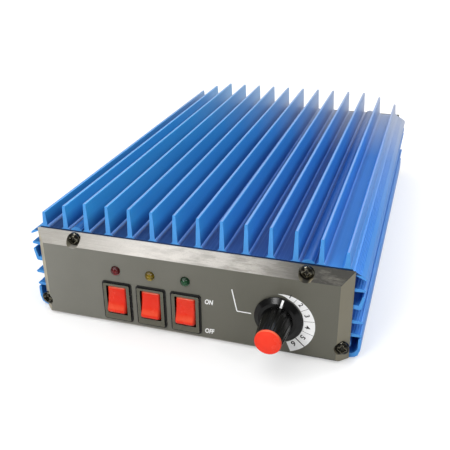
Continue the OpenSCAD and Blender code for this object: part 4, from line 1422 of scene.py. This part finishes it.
@dataclass
class CoaxialSocket:
    """A coaxial socket's shell with a real screw thread round its barrel."""

    name: str
    x: float
    z: float = 22.0
    flange_back: float = 127.3
    flange: float = 1.2
    barrel_length: float = 14.5
    run_in: float = 1.7
    plain_length: float = 3.6
    crest: float = 7.94
    root: float = 7.3
    sunk: float = 0.3
    pitch: float = 1.06
    crest_half: float = 0.11
    root_half: float = 0.42
    steps: int = 72
    slack: float = 0.01
    skin: float = 0.05

    def spindle(self, shape: Shape) -> None:
        """Takes the CAD barrel down to the thread's root.

        Args:
            shape: A copy of the CAD shell.
        """
        first = self.flange_back + self.flange
        last = self.flange_back + self.barrel_length
        cut_across(shape, first)
        barrel = [
            v
            for v in shape.verts
            if first + self.slack < v.co.y < last + self.slack
            and math.hypot(v.co.x - self.x, v.co.z - self.z) > self.crest - self.skin
        ]
        share = self.root / self.crest
        centre = Matrix.Translation((-self.x, 0, -self.z))
        bmesh.ops.scale(shape, vec=(share, 1, share), space=centre, verts=barrel)

    def thread(self, shape: Shape) -> None:
        """Winds a ridge round the barrel.

        Args:
            shape: The shell, which the ridge is added to.
        """
        turns = int((self.barrel_length - self.plain_length) / self.pitch)
        ridge = bmesh.new()
        bmesh.ops.create_grid(ridge, x_segments=1, y_segments=1, size=0.5)
        for vert in ridge.verts:
            outward = vert.co.y > 0
            half = (self.crest_half if outward else self.root_half) * self.pitch
            reach = self.crest if outward else self.root - self.sunk
            vert.co = Vector((reach, math.copysign(half, vert.co.x), 0.0))
        bmesh.ops.spin(
            ridge,
            geom=list(ridge.faces),
            cent=(0, 0, 0),
            axis=(0, 1, 0),
            dvec=(0, self.pitch / self.steps, 0),
            angle=math.tau * turns,
            steps=self.steps * turns,
            use_merge=False,
        )
        bmesh.ops.recalc_face_normals(ridge, faces=ridge.faces)
        move(ridge, (self.x, self.flange_back + self.run_in, self.z))
        mesh = as_mesh("ridge", ridge)
        shape.from_mesh(mesh)
        bpy.data.meshes.remove(mesh)

    def build(self) -> None:
        """Makes the threaded shell in place of the plain one."""
        node = f"{self.name}_socket_shell"
        shape = copied(node)
        self.spindle(shape)
        self.thread(shape)
        name = f"{self.name}_threaded_shell"
        piece(name, shape, Finishes.NICKEL, stands_for=[node], smooth_below=30.0)


@dataclass
class Studio:
    """The floor, the lamps and the camera."""

    camera_at: Point = (103.0, -385.4, 195.6)
    azimuth: float = 17.67
    elevation: float = 25.93
    roll: float = -0.57
    lens: float = 53.62
    sensor: float = 36.0
    clip_start: float = 0.01
    lamps: tuple[tuple[str, Point, float, float], ...] = (
        ("key", (-0.55, -0.45, 1.45), 1.7, 15.0),
        ("left", (-0.39, -1.19, 0.76), 0.36, 5.0),
        ("right", (0.95, -0.75, 0.95), 0.2, 2.0),
        ("back", (0.5, 0.75, 0.95), 0.8, 8.0),
    )
    aim: Point = (0.0, 0.0, 0.02)
    ambient: float = 0.45
    reflected: Range = (0.14, 0.46)
    rising_z: Range = (0.05, 0.9)
    floor_size: float = 6.0
    floor_z: float = -0.0002
    floor_colour: Colour = (0.7, 0.7, 0.7)
    floor_far: Range = (0.4, 1.6)
    floor_glow: Range = (0.33, 0.8)

    def camera(self) -> None:
        """Puts the camera where the photograph was taken from."""
        a, e, r = (math.radians(v) for v in (self.azimuth, self.elevation, self.roll))
        back = Vector((math.sin(a) * math.cos(e), -math.cos(a) * math.cos(e), math.sin(e)))
        right = Vector((0, 0, 1)).cross(back).normalized()
        up = back.cross(right)
        right, up = right * math.cos(r) + up * math.sin(r), up * math.cos(r) - right * math.sin(r)
        data = bpy.data.cameras.new("camera")
        data.lens = self.lens
        data.sensor_width = self.sensor
        data.clip_start = self.clip_start
        made = put("camera", data)
        facing = Matrix((right, up, back)).transposed().to_4x4()
        made.matrix_world = Matrix.Translation(Vector(self.camera_at) * MM) @ facing
        bpy.context.scene.camera = made

    def light(self) -> None:
        """Hangs the soft lamps, each turned to the object."""
        for name, at, size, power in self.lamps:
            data = bpy.data.lights.new(name, "AREA")
            data.shape = "SQUARE"
            data.size = size
            data.energy = power
            made = put(name, data)
            made.location = at
            made.rotation_euler = (Vector(self.aim) - Vector(at)).to_track_quat("-Z", "Y").to_euler()

    def world(self) -> None:
        """A surround that is white to the camera, dimmer for shade and graded in reflections."""
        world = bpy.data.worlds.new("surround")
        world.use_nodes = True
        nodes = Nodes(world.node_tree)
        background = world.node_tree.nodes["Background"]
        background.inputs["Color"].default_value = (1, 1, 1, 1)
        path = nodes.add("ShaderNodeLightPath").outputs
        seen = nodes.math("MAXIMUM", path["Is Camera Ray"], path["Is Transmission Ray"])
        graded = nodes.span(nodes.axis(Axis.Z, "Generated"), *self.rising_z, *self.reflected)
        dim = nodes.span(path["Is Glossy Ray"], 0.0, 1.0, self.ambient, graded)
        nodes.feed(background.inputs["Strength"], nodes.math("MAXIMUM", seen, dim))
        bpy.context.scene.world = world

    def floor(self) -> None:
        """A pale floor that keeps the object's shadow."""
        shape = bmesh.new()
        bmesh.ops.create_grid(shape, x_segments=1, y_segments=1, size=self.floor_size)
        mesh = as_mesh("floor", shape)
        sheet = NodeSheet("pale_floor")
        sheet.set(Base_Color=self.floor_colour, Roughness=0.9, Specular_IOR_Level=0.0)
        seen = sheet.add("ShaderNodeLightPath").outputs["Is Camera Ray"]
        far = sheet.add("ShaderNodeVectorMath", operation="LENGTH")
        sheet.feed(far.inputs[0], sheet.place.outputs["Object"])
        glow = sheet.span(far.outputs["Value"], *self.floor_far, *self.floor_glow)
        sheet.set(Emission_Color=(1.0, 1.0, 1.0), Emission_Strength=sheet.math("MULTIPLY", seen, glow))
        mesh.materials.append(sheet.material)
        made = put("floor", mesh)
        made.location.z = self.floor_z

    def build(self) -> None:
        """Sets the scene up."""
        self.camera()
        self.light()
        self.world()
        self.floor()
        bpy.context.scene.view_settings.view_transform = "Standard"


def each(pattern: str, names: Iterable[object]) -> tuple[str, ...]:
    """Puts each name in turn in the place of a star."""
    return tuple(pattern.replace("*", str(name)) for name in names)


@dataclass
class Chassis:
    """Every CAD node with its finish, also under the pieces that stand for it."""

    fuses: range = range(1, 4)

    def finishes(self) -> dict[Finish, tuple[str, ...]]:
        """The nodes that wear each finish."""
        return {
            Finishes.BLUE: ("housing",),
            Finishes.PANEL: ("front_panel",),
            Finishes.REAR: ("rear_panel",),
            Finishes.COVER: ("bottom_cover",),
            Finishes.BLACK_SCREW: each("*_panel_screws", ("front", "rear")),
            Finishes.ZINC: (
                *each("*_screws", ("bottom_cover", "socket", "board", "transistor")),
                *each("control_*", ("shaft", "nut")),
            ),
            Finishes.SWITCH: each("*_switch_body", SWITCHES),
            Finishes.RED: each("*_rocker", SWITCHES),
            Finishes.CAP: ("knob_cap",),
            Finishes.TINNED: (*each("*_switch_terminals", SWITCHES), "lamp_leads", "control_terminals"),
            Finishes.RED_LENS: ("red_lamp",),
            Finishes.YELLOW_LENS: ("yellow_lamp",),
            Finishes.GREEN_LENS: ("green_lamp",),
            Finishes.BOARD: ("main_board", "lamp_board"),
            Finishes.KNOB: ("knob_body",),
            Finishes.WHITE: ("knob_pointer",),
            Finishes.BRASS: ("knob_collet", "control_bush"),
            Finishes.PHENOLIC: ("control_body",),
            Finishes.NICKEL: (*each("*_socket_shell", SOCKETS), "board_standoffs"),
            Finishes.IVORY: each("*_socket_insulator", SOCKETS),
            Finishes.GOLD: each("*_socket_contact", SOCKETS),
            Finishes.COPPER: ("socket_leads",),
            Finishes.BLACK: (
                *each("fuse_holder_*", self.fuses),
                *each("fuse_cap_*", self.fuses),
                "fuse_holder_nuts",
            ),
            Finishes.FUSE: each("fuse_*", self.fuses),
            Finishes.RUBBER: ("supply_grommet",),
            Finishes.CERAMIC: ("power_transistors",),
            Finishes.FERRITE: each("*_transformer", SOCKETS),
            Finishes.RELAY: ("input_relay", "aerial_relay"),
            Finishes.CORE: ("filter_coils",),
            Finishes.SLEEVE: ("supply_capacitors",),
        }

    def build(self) -> None:
        """Dresses every node and makes sure that none is left out."""
        dressed = set()
        for finish, nodes in self.finishes().items():
            for node in nodes:
                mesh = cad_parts[node].data
                mesh.materials.clear()
                mesh.materials.append(finish.material())
                dressed.add(node)
        bare = sorted(set(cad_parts) - dressed)
        if bare:
            raise ValueError(f"no finish for {bare}")
        LOG.info("dressed %d nodes", len(dressed))


def main() -> None:
    """Builds the sub-assemblies in order."""
    logging.basicConfig(level=logging.INFO, format="%(name)s: %(message)s")
    Studio().build()
    Chassis().build()
    columns = [MIDDLE_SWITCH_X + SWITCH_PITCH * step for step in (-1, 0, 1)]
    for side, x in zip(SWITCHES, columns):
        Rocker(side, x).build()
    KnobCap().build()
    for name, x in zip(LAMPS, columns):
        LampInside(name, x).build()
    for name, x in SOCKETS.items():
        CoaxialSocket(name, x).build()
    PanelPrint().build()


if __name__ == "__main__":
    main()
